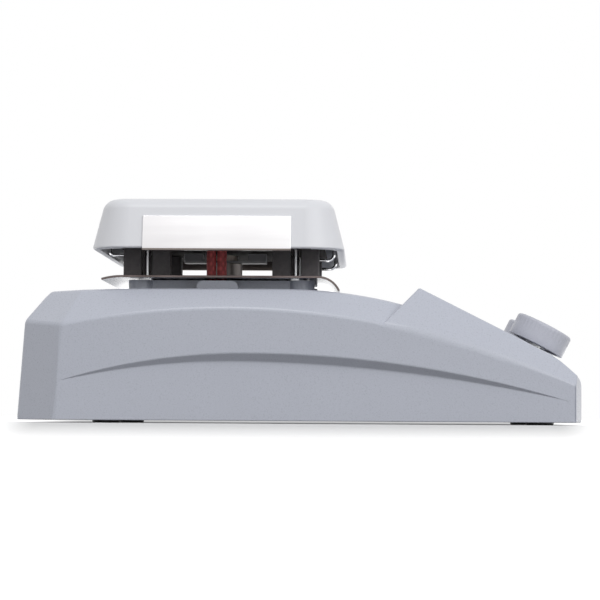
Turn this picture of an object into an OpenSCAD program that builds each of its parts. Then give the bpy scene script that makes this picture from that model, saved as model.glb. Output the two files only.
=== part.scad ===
// Magnetic stirrer with a heated ceramic top plate and a sloping control console.
// The origin is on the table under the middle of the housing, +X points to the front
// where the two knobs are, and +Z points up. All lengths are in millimetres.

/* [Housing] */
// Length of the housing, rear wall to front wall
body_l = 282; // [274:1:300]
// Width of the housing
body_w = 197; // [190:1:215]
// Thickness of the housing's walls
wall = 3; // [2.5:0.1:3.5]
// Height of the housing's lower edge above the table
edge_h = 1.3; // [1:0.1:2.5]
// Height of the flat deck
deck_h = 67; // [65:0.5:70]
// Radius of the curve in which the deck falls towards the console
deck_fall_r = 240; // [220:5:300]
// Distance from the middle of the top plate to the start of that curve
deck_fall_start = 34; // [24:1:40]
// Height of the rear wall
rear_h = 50.5; // [48:0.5:53]
// Forward lean of the rear wall in degrees
rear_lean = 4.1; // [2:0.1:6]
// Angle of the slope between the rear wall and the deck
rear_slope = 49; // [44:1:56]
// Length that each rear corner cut takes off the side wall
corner_l = 20.5; // [15:0.5:24]
// Width that each rear corner cut takes off the rear wall
corner_w = 19; // [15:0.5:22]
// Height of the crease along the side wall at its top
crease_h = 57.1; // [55:0.1:59]
// Radius of the crease's arch
crease_r = 400; // [380:5:440]
// Distance of the crease's top in front of the middle of the top plate
crease_ahead = 6; // [0:1:15]
// Angle of the bevel between the crease and the deck
deck_bevel = 45; // [40:1:52]

/* [Side recess] */
// Height of the recess's arched upper edge at its top
scoop_h = 34.7; // [32:0.1:37]
// Depth of the recess at its middle
scoop_depth = 4.3; // [3:0.1:5]
// Radius of the arch behind its top
scoop_rear_r = 315; // [300:5:360]
// Radius of the arch in front of its top
scoop_front_r = 560; // [520:10:620]
// Distance of the arch's top in front of the middle of the top plate
scoop_ahead = 16; // [8:1:24]
// Distance from the rear end to the recess's rear end
scoop_rear = 26; // [24:1:36]
// Distance from the front end to the recess's front end
scoop_front = 8.5; // [7:0.5:16]
// Angle at which the recess's upper face slopes down and in
scoop_angle = 45; // [35:1:55]

/* [Console] */
// Distance from the console's top edge to the front wall
console_l = 81; // [79:0.5:84]
// Height of the console's top edge
console_h = 68; // [66:0.5:70]
// Angle of the console's rear face
console_back = 46; // [42:1:52]
// Angle of the bevel between the crease and the console's panel
console_bevel = 60; // [56:1:66]
// Slope of the control panel
panel_angle = 27; // [25:0.5:29]
// Length of the flat control panel
panel_l = 71; // [69:0.5:74]
// Slope of the nose below the panel
nose_angle = 42; // [38:1:46]
// Radius of the bend from the panel into the nose
nose_r = 40; // [30:1:46]
// Radius of the edge between the nose and the front wall
front_edge_r = 5; // [4:0.5:7]
// Distance that the front wall's ends sweep back
front_sweep = 4; // [2:0.5:6]
// Width of each swept end of the front wall
front_span = 19; // [14:1:26]

/* [Base] */
// Thickness of the base plate
base_t = 1.5; // [1:0.1:2]
// Radius of a foot
foot_r = 7; // [6:0.5:8]
// Distance from the rear end to the rear feet
foot_rear = 44; // [40:1:50]
// Distance from the front end to the front feet
foot_front = 20; // [18:1:23]
// Distance between the feet across the width
foot_span = 140; // [134:1:150]
// Distance from a foot to the base screw beside it
screw_in = 14; // [13:0.5:16]
// Radius of a screw boss
boss_r = 4; // [3.5:0.25:4.5]
// Radius of a base screw's shank
base_screw_r = 1.5; // [1.25:0.05:1.75]
// Length of a base screw below its head
base_screw_l = 10; // [8:0.5:12]

/* [Top plate] */
// Distance from the rear end to the middle of the top plate
plate_back = 100; // [96:0.5:104]
// Length of the top plate along the housing
plate_l = 127; // [124:1:132]
// Width of the top plate across the housing
plate_w = 178; // [172:1:186]
// Height of the top plate, rim to top
plate_h = 25.5; // [24:0.5:26.5]
// Thickness of the top plate
plate_t = 4; // [3.5:0.1:4.4]
// Radius of the top plate's upright corners at the rim
plate_corner_r = 20; // [18:0.5:24]
// Draft of the top plate's sides in degrees
plate_draft = 14.5; // [12:0.5:16]
// Height of the chamfer round the top plate's rim
plate_rim = 1.2; // [0.8:0.1:1.6]
// Radius of the top plate's upper edge
plate_edge_r = 7; // [5:0.5:8]
// Width of the steel side panel
trim_l = 74; // [68:0.5:80]
// Height of the steel side panel
trim_h = 17.4; // [14:0.2:18]
// Height of the side panel's leg inside the rim
trim_leg = 5; // [4:0.5:7]
// Thickness of the side panel's sheet
trim_t = 0.8; // [0.6:0.1:1]
// Distance of the side panel's middle behind the middle of the top plate
trim_behind = 0; // [0:0.5:4]

/* [Plate support] */
// Rise of the collar above the deck
collar_rise = 6.5; // [5:0.5:8]
// Length of the collar between the middles of its corner posts
collar_l = 83; // [81:0.5:86]
// Width of the collar between the middles of its corner posts
collar_w = 80; // [76:1:86]
// Radius of a collar post
post_r = 6.5; // [6:0.25:7]
// Thickness of the collar's walls
collar_t = 5; // [4:0.5:6]
// Width of the swelling in the collar's side walls, where the leads pass
swell_l = 21; // [16:1:26]
// Distance that the swelling stands out from the collar
swell_out = 17; // [12:1:20]
// Radius of the swelling's upper corners
swell_r = 3; // [2:0.25:3.5]
// Drop from the collar's top to the top of that swelling
swell_drop = 1; // [0.5:0.25:2]
// Thickness of a spacer washer
washer_t = 0.6; // [0.4:0.1:1]
// Length of the heat shield's flat part
shield_l = 100; // [98:1:106]
// Width of the heat shield
shield_w = 116; // [108:1:126]
// Thickness of the heat shield
shield_t = 1.1; // [0.8:0.1:1.4]
// Length of each wing of the heat shield
wing_l = 10.3; // [8:0.1:12]
// Drop of the front wing
wing_drop_front = 6.7; // [5:0.1:8]
// Drop of the rear wing
wing_drop_rear = 1.5; // [1:0.1:3]
// Distance of the studs from the middle along the length
stud_x = 38.3; // [37.5:0.1:39]
// Distance of the studs from the middle across the width
stud_y = 40; // [39:0.25:41.5]
// Radius of a stud
stud_r = 1.5; // [1.25:0.05:1.75]
// Depth of a stud in its collar post
stud_sink = 5; // [4:0.25:6]
// Height of a standoff block
block_h = 15.3; // [14.5:0.1:16.5]
// Length of a standoff block
block_l = 9.1; // [8:0.1:10]
// Width of a standoff block
block_w = 12; // [10:0.5:14]
// Gap between the two blocks beside a stud
block_gap = 5.8; // [5:0.1:7]
// Thickness of the heater tray
tray_t = 1; // [0.8:0.1:1.5]
// Length of the heater tray
tray_l = 106; // [104:1:110]
// Width of the heater tray
tray_w = 156; // [146:1:160]
// Thickness of the insulation
pad_t = 14; // [13:0.5:15]
// Thickness of the heating element
heater_t = 3; // [2.5:0.25:3.5]
// Margin of the insulation and the heater inside the tray
pad_margin = 5; // [4:0.5:8]
// Width across a stud nut's corners
nut_w = 6.2; // [5.8:0.1:6.6]
// Height of a stud nut
nut_h = 2.4; // [2:0.1:3]
// Radius of a retaining clip's wire
clip_r = 0.8; // [0.6:0.05:0.9]
// Distance of the clips from the middle across the width
clip_y = 38; // [36:0.5:40]
// Height of the front clips' legs below the tray
clip_low = 6.3; // [5.5:0.1:7]
// Height of the rear clips' legs below the tray
clip_high = 4; // [3.5:0.1:4.5]
// Length of a clip's leg inside its block
clip_sink = 5; // [4:0.5:6]

/* [Stirring drive] */
// Radius of the motor
motor_r = 28; // [26:0.5:30]
// Length of the motor's can
motor_h = 36; // [33:0.5:38]
// Thickness of the can's wall
can_t = 2; // [1.5:0.1:2.5]
// Thickness of the motor's end cap
cap_t = 3; // [2.5:0.1:4]
// Thickness of the motor's bracket
bracket_t = 2; // [1.5:0.1:2.5]
// Distance of the bracket's screws from the motor's axis, along and across
bracket_screw = 27; // [26:0.5:28.5]
// Distance from the bracket's screws to its edge
bracket_edge = 6; // [5.5:0.25:6.5]
// Length of the deck's posts that carry the bracket
hang_h = 4; // [3:0.25:5]
// Thickness of a rubber grommet
grommet_t = 2; // [1.5:0.1:2.5]
// Radius of the motor's bearing tower
tower_r = 8.7; // [8:0.1:9.5]
// Radius of a bearing bush
bush_r = 5; // [4.5:0.1:5.5]
// Length of a bearing bush
bush_l = 8; // [6:0.5:10]
// Radius of the motor's shaft
shaft_r = 2.5; // [2:0.1:3]
// Length of the stator and the armature
core_h = 20; // [16:1:22]
// Radius of the armature
armature_r = 15; // [13:0.5:17]
// Radial thickness of the stator
stator_t = 9; // [7:0.5:9]
// Length of the magnet carrier
carrier_l = 43.6; // [40:0.2:46]
// Width of the magnet carrier
carrier_w = 12; // [10:0.5:14]
// Thickness of the magnet carrier
carrier_t = 1.2; // [1:0.1:1.5]
// Length of a drive magnet
magnet_l = 9.8; // [8:0.2:10.5]
// Height of a drive magnet
magnet_h = 3.6; // [3:0.1:4]
// Radius of the rotor's hub
hub_r = 6.3; // [5.5:0.1:7]
// Height of the rotor's hub
hub_h = 2.9; // [2.5:0.1:3.3]
// Running gap above the magnets
magnet_gap = 1; // [0.8:0.1:1.4]
// Running gap between the bearing tower and the magnet carrier
carrier_gap = 0.3; // [0.2:0.05:0.5]

/* [Heater wiring] */
// Radius of a lead sleeve
sleeve_r = 2.45; // [2.2:0.05:2.6]
// Distance between the two sleeves
sleeve_pitch = 5.5; // [5.4:0.1:6.5]
// Distance of the sleeves from the middle across the width
sleeve_y = 30; // [29:0.5:32]
// Distance of the sleeves' middle behind the middle of the top plate
sleeve_behind = 3.2; // [2:0.1:5]
// Radius of a heater lead
lead_r = 1.2; // [1:0.05:1.4]
// Length of the terminal block under the deck
terminal_l = 16; // [14.5:0.5:18]
// Width of the terminal block under the deck
terminal_w = 8; // [7:0.5:9]
// Height of the terminal block under the deck
terminal_h = 5; // [4.5:0.1:5.5]
// Radius of the temperature probe
probe_r = 1.5; // [1.25:0.05:1.75]

/* [Controls] */
// Distance of the knobs from the panel's top edge
knob_down = 66.2; // [64:0.1:67]
// Distance from the control board's sides to the knobs
knob_side = 9.5; // [8.5:0.25:14]
// Radius of a knob
knob_r = 15; // [13.5:0.25:16]
// Height of a knob
knob_h = 12; // [10.5:0.25:13]
// Gap between a knob and the panel
knob_gap = 3.6; // [3.2:0.1:4.2]
// Radius of a knob's upper edge
knob_edge_r = 1.6; // [1:0.1:2]
// Crown of a knob's top
knob_crown = 0.7; // [0.4:0.1:1]
// Thickness of a knob's top and of its skirt
knob_t = 2.5; // [2:0.1:3]
// Number of grip flutes round a knob
flutes = 40; // [30:2:48]
// Depth of a grip flute
flute_t = 0.2; // [0.15:0.05:0.3]
// Length of a knob's pointer line
pointer_l = 8; // [6:0.5:9]
// Width of a knob's pointer line
pointer_w = 1.4; // [1:0.1:2]
// Radius of a control shaft
spindle_r = 3; // [2.75:0.05:3.1]
// Radius of a control's threaded bush
collet_r = 4.5; // [4.2:0.1:4.8]
// Height of a control nut
control_nut_h = 2; // [1.5:0.1:2.3]
// Width across a control nut's corners
control_nut_w = 13; // [12:0.25:14]
// Radius of a control's body
control_r = 8; // [7.5:0.25:8.5]
// Depth of the control board below the panel
board_gap = 14; // [13:0.5:15]
// Thickness of the circuit boards
board_t = 1.6; // [1.2:0.1:2]
// Distance from the panel's top edge to the control board
board_top = 8; // [7:0.5:10]
// Length of the control board down the slope
board_l = 66; // [65:0.5:68]
// Width of the control board
board_w = 101; // [100:0.5:102]
// Distance from the control board's edge to its upper posts
board_hole_top = 4.5; // [4:0.5:5]
// Distance between the control board's upper and lower posts
board_hole_l = 40; // [36:0.5:42]
// Distance from the control board's sides to its posts
board_hole_side = 5.5; // [4.5:0.25:6.5]
// Radius of a control board post
board_post_r = 3; // [2.5:0.1:3.2]
// Radius of a small screw's shank
small_screw_r = 1.2; // [1:0.05:1.4]
// Height of a screw's head
head_h = 1.5; // [1.2:0.1:1.8]
// Length of a board screw's thread in its post
grip_l = 4.5; // [3.5:0.25:5]
// Thickness of the panel's overlay
overlay_t = 0.4; // [0.3:0.05:0.6]
// Length of the overlay down the slope
overlay_l = 65; // [63:0.5:66]
// Width of the overlay
overlay_w = 158; // [146:1:162]
// Distance from the panel's top edge to the overlay
overlay_top = 4; // [3:0.25:4.5]
// Length of the display window down the slope
window_l = 20; // [16:0.5:22]
// Distance from the control board's posts to the display window
window_side = 2; // [1:0.25:6]
// Thickness of the display window
window_t = 2.8; // [2.4:0.1:3]
// Distance from the panel's top edge to the window's middle
window_down = 22; // [20:0.5:24]
// Radius of an indicator light
light_r = 2; // [1.6:0.1:2.4]
// Distance from the panel's top edge to the indicator lights
light_down = 42; // [40:0.5:44]

/* [Power supply] */
// Distance of the inlet from the middle across the width
inlet_y = 50; // [40:1:56]
// Height of the inlet's middle
inlet_z = 26; // [24:0.5:28]
// Width of the inlet's flange
inlet_w = 34; // [32:0.5:36]
// Height of the inlet's flange
inlet_h = 26; // [25:0.5:27]
// Thickness of the inlet's flange
inlet_t = 2; // [1.6:0.1:2.2]
// Depth of the inlet's body behind its flange
inlet_l = 20; // [18:0.5:21]
// Width of the inlet's socket
socket_w = 24; // [23:0.25:25]
// Height of the inlet's socket
socket_h = 16; // [15:0.25:17]
// Depth of the inlet's socket
socket_l = 16; // [15:0.25:17]
// Thickness of the inlet's walls
inlet_wall = 1.8; // [1.5:0.1:2]
// Depth of the inlet's face below the rear wall at its top
inlet_inset = 1; // [0.6:0.1:1.4]
// Length of an inlet pin in the socket
pin_l = 12; // [10:0.5:13]
// Length of an inlet pin's tail behind the inlet
pin_tail = 5; // [3:0.5:7]
// Thickness of an inlet pin
pin_w = 2; // [1.6:0.1:2.4]
// Height of an inlet pin
pin_h = 4; // [3.5:0.1:4.5]
// Distance between two neighbouring inlet pins across the socket
pin_pitch = 7; // [6.5:0.1:7.5]
// Distance of the inlet pins above and below the socket's middle
pin_step = 2; // [1.5:0.1:2.4]
// Distance from the power board to the motor's bracket behind it and to the console before it
supply_gap = 5.5; // [4:0.25:7]
// Width of the power board
supply_w = 110; // [104:1:116]
// Height of the power board's posts
supply_post_h = 6; // [5:0.5:8]
// Distance from the power board's edges to its posts
supply_hole = 5; // [4.5:0.25:6]
// Distance from the power board's ends to the transformer
transformer_end = 8; // [7:0.25:10]
// Width of the transformer
transformer_w = 48; // [44:1:54]
// Height of the transformer
transformer_h = 34; // [30:1:36]
// Drop from the transformer's core to the top of its windings
coil_drop = 4; // [3:0.5:6]
// Distance of the transformer's middle from the middle across the width
transformer_y = 18; // [12:1:22]
// Length of the heat sink across the housing
sink_w = 26; // [22:1:28]
// Height of the heat sink
sink_h = 26; // [22:1:30]
// Distance from the power board's side to the heat sink's middle
sink_side = 21; // [20:0.5:24]
// Length of the heat sink's fins along the housing
sink_l = 18; // [14:1:20]
// Thickness of the heat sink's web
sink_t = 3; // [2:0.25:4]
// Thickness of a heat sink's fin
fin_t = 2; // [1.5:0.1:2.5]

/* [Fits] */
// Clearance of a piece in its seat
fit = 0.2; // [0.15:0.05:0.3]
// Clearance of a pressed or bonded piece
press = 0.02; // [0.01:0.01:0.04]
// Running clearance of a shaft in its bush
running = 0.05; // [0.03:0.01:0.08]

/* [Hidden] */
$fn = 64;

// Reach of the blocks that cut the housing's slanted faces
reach = 400;
// Facets of the housing's long arcs
arc_fn = 480;

// Places along the length
rear_x = -body_l / 2;
front_x = body_l / 2;
plate_x = rear_x + plate_back;
console_x = front_x - console_l;
crease_x = plate_x + crease_ahead;
fall_x = plate_x + deck_fall_start;
scoop_x = plate_x + scoop_ahead;

// Heights of the plate's support, from the deck up
deck_under = deck_h - wall;
collar_top = deck_h + collar_rise;
shield_z = collar_top + washer_t;
shield_top = shield_z + shield_t;
tray_z = shield_top + block_h;
pad_z = tray_z + tray_t;
heater_z = pad_z + pad_t;
plate_under = heater_z + heater_t;
plate_top = plate_under + plate_t;
rim_z = plate_top - plate_h;

// Heights of the drive, from the tray down and from the deck down
magnet_z = tray_z - magnet_gap - magnet_h;
carrier_z = magnet_z - carrier_t;
tower_top = carrier_z - carrier_gap;
hang_z = deck_under - hang_h;
bracket_z = hang_z - grommet_t - bracket_t;
can_z = bracket_z - motor_h;
cap_z = can_z - cap_t;
core_z = can_z + (motor_h - core_h) / 2;
bracket_l = 2 * (bracket_screw + bracket_edge);

// Place of a clip's upright wire just inside the plate's rim, and of its other end in the block
clip_reach = plate_l / 2 - plate_t - (tray_z - rim_z - plate_rim) * tan(plate_draft) - clip_r - fit;
clip_start = block_x(1) + block_l / 2 - clip_sink;

// Insulation and heater outline
pad_l = tray_l - 2 * pad_margin;
pad_w = tray_w - 2 * pad_margin;

// Places in the housing
base_top = edge_h + base_t;
foot_x = [rear_x + foot_rear, front_x - foot_front];
foot_places = [for (x = foot_x) for (s = [-1, 1]) [x, s * foot_span / 2]];
screw_places = [for (p = foot_places) [p[0], p[1] - sign(p[1]) * screw_in]];
corner_signs = [for (x = [-1, 1]) for (y = [-1, 1]) [x, y]];
sleeve_places = [for (s = [-1, 1]) [plate_x - sleeve_behind + s * sleeve_pitch / 2, -sleeve_y]];
probe_place = [plate_x, sleeve_y];
seat_x = rear_x + (inlet_z + inlet_h / 2 - edge_h) * tan(rear_lean) + inlet_t + inlet_inset;
inlet_body_w = socket_w + 2 * inlet_wall;
inlet_body_h = socket_h + 2 * inlet_wall;
supply_l = console_x - plate_x - bracket_l / 2 - 2 * supply_gap;
supply_x = console_x - supply_gap - supply_l / 2;
transformer_l = supply_l - 2 * transformer_end;
supply_z = base_top + supply_post_h;
supply_top = supply_z + board_t;

// Places on the control panel, down the slope and across
knob_y = board_w / 2 - knob_side;
knob_places = [for (s = [-1, 1]) [knob_down, s * knob_y]];
board_hole_s = board_top + board_hole_top;
board_hole_y = board_w / 2 - board_hole_side;
board_holes = [for (s = [0, board_hole_l]) for (y = [-1, 1]) [board_hole_s + s, y * board_hole_y]];
window_w = 2 * (board_hole_y - board_post_r - window_side);
light_places = [for (s = [-1, 1]) [light_down, s * knob_y]];
knob_top = knob_gap + knob_h;
control_floor = 2;

// Turn of the pointers at rest, in degrees from straight down the panel
off_turn = -35;

// Drop of a circle of radius r at a distance d from its top
function sag(r, d) = r - sqrt(r * r - d * d);

// Point at an angle from the upright, at a distance r from a centre
function swing(c, r, a) = [c[0] + r * sin(a), c[1] + r * cos(a)];

// Points along a wing that curves down by its drop, from the shield's flat part to its tip
function wing(drop, t) = let (
    r = (wing_l * wing_l + drop * drop) / (2 * drop),
    a = 2 * atan(drop / wing_l),
    steps = 8
) [for (i = [0:steps]) swing([shield_l / 2, -r], r + t, a * i / steps)];

// Points drawn in reverse order, and points mirrored to the other end
function reversed(points) = [for (i = [len(points) - 1:-1:0]) points[i]];
function flipped(points) = [for (p = points) [-p[0], p[1]]];

// Everything beyond the plane through p whose outward direction is n
module beyond(p, n) {
    translate(p)
        rotate([0, acos(n[2] / norm(n)), atan2(n[1], n[0])])
            translate([-reach, -reach, 0])
                cube([2 * reach, 2 * reach, reach]);
}

// Flat block with rounded upright edges, standing on z = 0 and centred in plan
module slab(l, w, h, r) {
    linear_extrude(h) {
        square([l - 2 * r, w], center = true);
        square([l, w - 2 * r], center = true);
        for (c = corner_signs)
            translate([c[0] * (l / 2 - r), c[1] * (w / 2 - r)])
                circle(r);
    }
}

// Children drawn in the control panel's own frame: X down the slope, Z out of the panel
module on_panel() {
    translate([console_x, 0, console_h])
        rotate([0, panel_angle, 0])
            children();
}

// Children repeated at a list of places in plan
module at(places, z = 0) {
    for (p = places)
        translate([p[0], p[1], z])
            children();
}

// Children repeated at the four stud places
module at_studs(z) {
    at([for (c = corner_signs) [plate_x + c[0] * stud_x, c[1] * stud_y]], z) children();
}

// Children repeated at the motor bracket's four screws
module at_bracket(z) {
    at([for (c = corner_signs) [plate_x + c[0] * bracket_screw, c[1] * bracket_screw]], z) children();
}

// Children repeated at the power board's four posts
module at_supply(z) {
    at([for (c = corner_signs) [
        supply_x + c[0] * (supply_l / 2 - supply_hole),
        c[1] * (supply_w / 2 - supply_hole)
    ]], z) children();
}

// The bevel over each rear corner rises from the corner cut's upper edge: the edge's ends, and its direction
hip_lean = tan(rear_lean) * (rear_h - edge_h);
function hip_rear(s) = [rear_x + hip_lean, s * (body_w / 2 - corner_w), rear_h];
function hip_side(s) = let (x = rear_x + corner_l + hip_lean)
    [x, s * body_w / 2, crease_h - sag(crease_r / cos(deck_bevel), x - crease_x) / cos(deck_bevel)];
function hip_normal(s) =
    let (inward = [corner_w, -s * corner_l, norm([corner_w, corner_l]) * tan(deck_bevel)])
    s * cross(inward, hip_side(s) - hip_rear(s));

// Outline of the walls seen from above, with every wall set in by t
module wall_block(t, floor_z) {
    lean = tan(rear_lean);
    rear_n = [-1, 0, lean];
    difference() {
        translate([rear_x - 10, t - body_w / 2, floor_z])
            cube([body_l + 20, body_w - 2 * t, console_h + 20]);
        beyond([rear_x, 0, edge_h] - t * rear_n / norm(rear_n), rear_n);
        for (s = [-1, 1]) {
            corner_n = [-corner_w, s * corner_l, corner_w * lean];
            front_n = [front_span, s * front_sweep, 0];
            hip_n = hip_normal(s);
            beyond([rear_x, s * (body_w / 2 - corner_w), edge_h] - t * corner_n / norm(corner_n), corner_n);
            beyond(hip_rear(s) - t * hip_n / norm(hip_n), hip_n);
            beyond([front_x, s * (body_w / 2 - front_span), 0] - t * front_n / norm(front_n), front_n);
        }
    }
}

// The two arched bevels above the crease, one on each side, set in by t
module bevels(angle, t) {
    r = crease_r / cos(angle);
    intersection_for (s = [-1, 1])
        translate([crease_x, s * (body_w / 2 - r * sin(angle)), crease_h - r * cos(angle)])
            rotate([s * (90 - angle), 0, 0])
                cylinder(r = r - t, h = 2 * reach, center = true, $fn = arc_fn);
}

// A side profile drawn in X and Z, carried across the whole width
module across(points) {
    rotate([90, 0, 0])
        linear_extrude(2 * body_w, center = true)
            polygon(points);
}

// Rear slope, flat deck and its fall, set in by t
module deck_block(t) {
    foot = [rear_x + (rear_h - edge_h) * tan(rear_lean), rear_h];
    slope = [foot[0] + t * sin(rear_slope), foot[1] - t * cos(rear_slope)];
    top = deck_h - t;
    start = slope[0] + (top - slope[1]) / tan(rear_slope);
    end = console_x;
    low = slope[0] - (slope[1] + 10) / tan(rear_slope);
    steps = 24;
    fall = [for (i = [0:steps]) let (x = fall_x + (end - fall_x) * i / steps)
        [x, top - sag(deck_fall_r - t, x - fall_x)]];
    intersection() {
        across(concat([[low, -10], [start, top]], fall, [[end, -10]]));
        bevels(deck_bevel, t);
    }
}

// Console with its rear face, control panel, nose and front wall, set in by t
module console_block(t) {
    turn = console_back + panel_angle;
    top = [
        console_x + t * (cos(panel_angle) - cos(console_back)) / sin(turn),
        console_h - t * (sin(panel_angle) + sin(console_back)) / sin(turn)
    ];
    bend = [console_x + panel_l * cos(panel_angle), console_h - panel_l * sin(panel_angle)];
    bend_c = swing(bend, -nose_r, panel_angle);
    nose = swing(bend_c, nose_r, nose_angle);
    edge_x = front_x - front_edge_r;
    edge_z = nose[1] - (front_edge_r - (nose[0] - edge_x) * sin(nose_angle)) / cos(nose_angle);
    bend_steps = 6;
    edge_steps = 8;
    bend_arc = [for (i = [0:bend_steps])
        swing(bend_c, nose_r - t, panel_angle + (nose_angle - panel_angle) * i / bend_steps)];
    edge_arc = [for (i = [0:edge_steps])
        swing([edge_x, edge_z], front_edge_r - t, nose_angle + (90 - nose_angle) * i / edge_steps)];
    back_x = top[0] - (top[1] + 20) / tan(console_back);
    intersection() {
        across(concat([[back_x, -20], top], bend_arc, edge_arc, [[front_x - t, -20]]));
        bevels(console_bevel, t);
    }
}

// Hollow under the arch in each side wall, grown by t
module scoops(t) {
    start = rear_x + scoop_rear;
    end = front_x - scoop_front;
    half = (end - start) / 2;
    r = (half * half + scoop_depth * scoop_depth) / (2 * scoop_depth);
    steps = 24;
    lead = 12;
    rear_arch = [for (i = [0:steps]) let (x = start - lead + (scoop_x - start + lead) * i / steps)
        [x, scoop_h - sag(scoop_rear_r, x - scoop_x)]];
    front_arch = [for (i = [1:steps]) let (x = scoop_x + (end + lead - scoop_x) * i / steps)
        [x, scoop_h - sag(scoop_front_r, x - scoop_x)]];
    arch = [for (p = concat(rear_arch, front_arch)) [p[0], p[1] * cos(scoop_angle) + t]];
    for (s = [0, 1])
        mirror([0, s, 0])
            intersection() {
                translate([start + half, scoop_depth - r - body_w / 2, -deck_h])
                    cylinder(r = r + t, h = 2 * deck_h, $fn = 4 * arc_fn);
                translate([0, -body_w / 2, 0])
                    rotate([90 - scoop_angle, 0, 0])
                        linear_extrude(2 * deck_h, center = true)
                            polygon(concat([[start - lead, -deck_h]], arch, [[end + lead, -deck_h]]));
            }
}

// The housing's form with every face set in by t, cut off level at floor_z
module body_form(t, floor_z) {
    difference() {
        intersection() {
            wall_block(t, floor_z);
            union() {
                deck_block(t);
                console_block(t);
            }
        }
        scoops(t);
    }
}

// Outline of the collar's swelling, h high, with its upper corners rounded to r
function swell_outline(h, r) = concat(
    [[-swell_l / 2, 0], [swell_l / 2, 0]],
    [for (i = [0:6]) swing([swell_l / 2 - r, h - r], r, 90 - 15 * i)],
    [for (i = [0:6]) swing([r - swell_l / 2, h - r], r, -15 * i)]
);

// Raised collar on the deck with a post at each corner and a swelling in each side
module collar() {
    low = deck_h - wall / 2;
    rise = collar_top - low;
    translate([plate_x, 0, low])
        difference() {
            union() {
                translate([-collar_l / 2, -(collar_w + collar_t) / 2, 0])
                    cube([collar_l, collar_w + collar_t, rise]);
                translate([-(collar_l + collar_t) / 2, -collar_w / 2, 0])
                    cube([collar_l + collar_t, collar_w, rise]);
                at([for (c = corner_signs) [c[0] * collar_l / 2, c[1] * collar_w / 2]])
                    cylinder(r = post_r, h = rise);
                translate([-sleeve_behind, 0, 0])
                    rotate([90, 0, 0])
                        linear_extrude(collar_w + collar_t + 2 * swell_out, center = true)
                            polygon(swell_outline(rise - swell_drop, swell_r));
            }
            difference() {
                translate([-(collar_l - collar_t) / 2, -(collar_w - collar_t) / 2, wall / 2])
                    cube([collar_l - collar_t, collar_w - collar_t, rise]);
                at([for (c = corner_signs) [c[0] * collar_l / 2, c[1] * collar_w / 2]])
                    cylinder(r = post_r, h = rise);
            }
        }
}

// Bosses, posts and the inlet's pad that stand inside the housing
module bosses() {
    at(screw_places, base_top)
        cylinder(r = boss_r, h = console_h);
    at_bracket(hang_z)
        cylinder(r = boss_r, h = console_h);
    on_panel()
        at(board_holes, -board_gap)
            cylinder(r = board_post_r, h = board_gap);
    translate([rear_x, inlet_y - inlet_w / 2 - wall, inlet_z - inlet_h / 2 - wall])
        cube([seat_x + wall - rear_x, inlet_w + 2 * wall, inlet_h + 2 * wall]);
}

// Holes through the housing for what it carries
module housing_holes() {
    at(screw_places, base_top - 1)
        cylinder(r = base_screw_r, h = base_screw_l - base_t + 2);
    at_bracket(hang_z - 1)
        cylinder(r = base_screw_r, h = hang_h + 1.5);
    translate([plate_x, 0, deck_under - 1])
        cylinder(r = tower_r + fit, h = wall + 2);
    at(sleeve_places, deck_under - 1)
        cylinder(r = sleeve_r + fit / 2, h = wall + 2);
    translate([probe_place[0], probe_place[1], deck_under - 1])
        cylinder(r = probe_r + fit, h = wall + 2);
    at_studs(collar_top - stud_sink)
        cylinder(r = stud_r + press, h = stud_sink + 1);
    on_panel() {
        at(board_holes, -board_gap - 1)
            cylinder(r = small_screw_r, h = grip_l + 2);
        at(knob_places, -wall - 1)
            cylinder(r = collet_r + fit, h = wall + 2);
        at(light_places, -wall - 1)
            cylinder(r = light_r + fit, h = wall + 2);
        translate([window_down, 0, -wall - 1])
            slab(window_l + 2 * fit, window_w + 2 * fit, wall + 2, 2 + fit);
    }
    translate([rear_x - 5, inlet_y - inlet_w / 2 - fit, inlet_z - inlet_h / 2 - fit])
        cube([seat_x - rear_x + 5, inlet_w + 2 * fit, inlet_h + 2 * fit]);
    translate([rear_x, inlet_y - inlet_body_w / 2 - fit, inlet_z - inlet_body_h / 2 - fit])
        cube([seat_x - rear_x + wall + 5, inlet_body_w + 2 * fit, inlet_body_h + 2 * fit]);
}

module housing() {
    color("#b4b6c1")
        difference() {
            union() {
                body_form(0, edge_h);
                collar();
            }
            difference() {
                body_form(wall, -10);
                bosses();
            }
            housing_holes();
        }
}

module base_plate() {
    color("#8c9096")
        difference() {
            intersection() {
                body_form(wall + fit, edge_h);
                translate([rear_x, -body_w / 2, edge_h])
                    cube([body_l, body_w, base_t]);
            }
            at(screw_places, edge_h - 1)
                cylinder(r = base_screw_r + fit, h = base_t + 2);
            at(screw_places, edge_h)
                translate([0, 0, -0.01])
                    cylinder(r1 = base_screw_r + fit + base_t, r2 = base_screw_r + fit, h = base_t);
        }
}

module rubber_feet() {
    color("#1c1c1e")
        at(foot_places)
            rotate_extrude()
                polygon([
                    [0, 0], [foot_r - edge_h / 3, 0],
                    [foot_r, edge_h / 3], [foot_r, edge_h], [0, edge_h]
                ]);
}

module base_screws() {
    color("#9a9da2")
        at(screw_places, edge_h) {
            cylinder(r = base_screw_r - press, h = base_screw_l);
            cylinder(r1 = base_screw_r + base_t - fit, r2 = base_screw_r - press, h = base_t - fit);
        }
}

module power_inlet() {
    color("#202124")
        difference() {
            translate([seat_x, inlet_y, inlet_z]) {
                translate([-inlet_t, -inlet_w / 2, -inlet_h / 2])
                    cube([inlet_t, inlet_w, inlet_h]);
                translate([-inlet_t, -inlet_body_w / 2, -inlet_body_h / 2])
                    cube([inlet_t + inlet_l, inlet_body_w, inlet_body_h]);
            }
            translate([seat_x - inlet_t - 1, inlet_y - socket_w / 2, inlet_z - socket_h / 2])
                cube([socket_l + 1, socket_w, socket_h]);
            pin_blades(press);
        }
}

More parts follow.
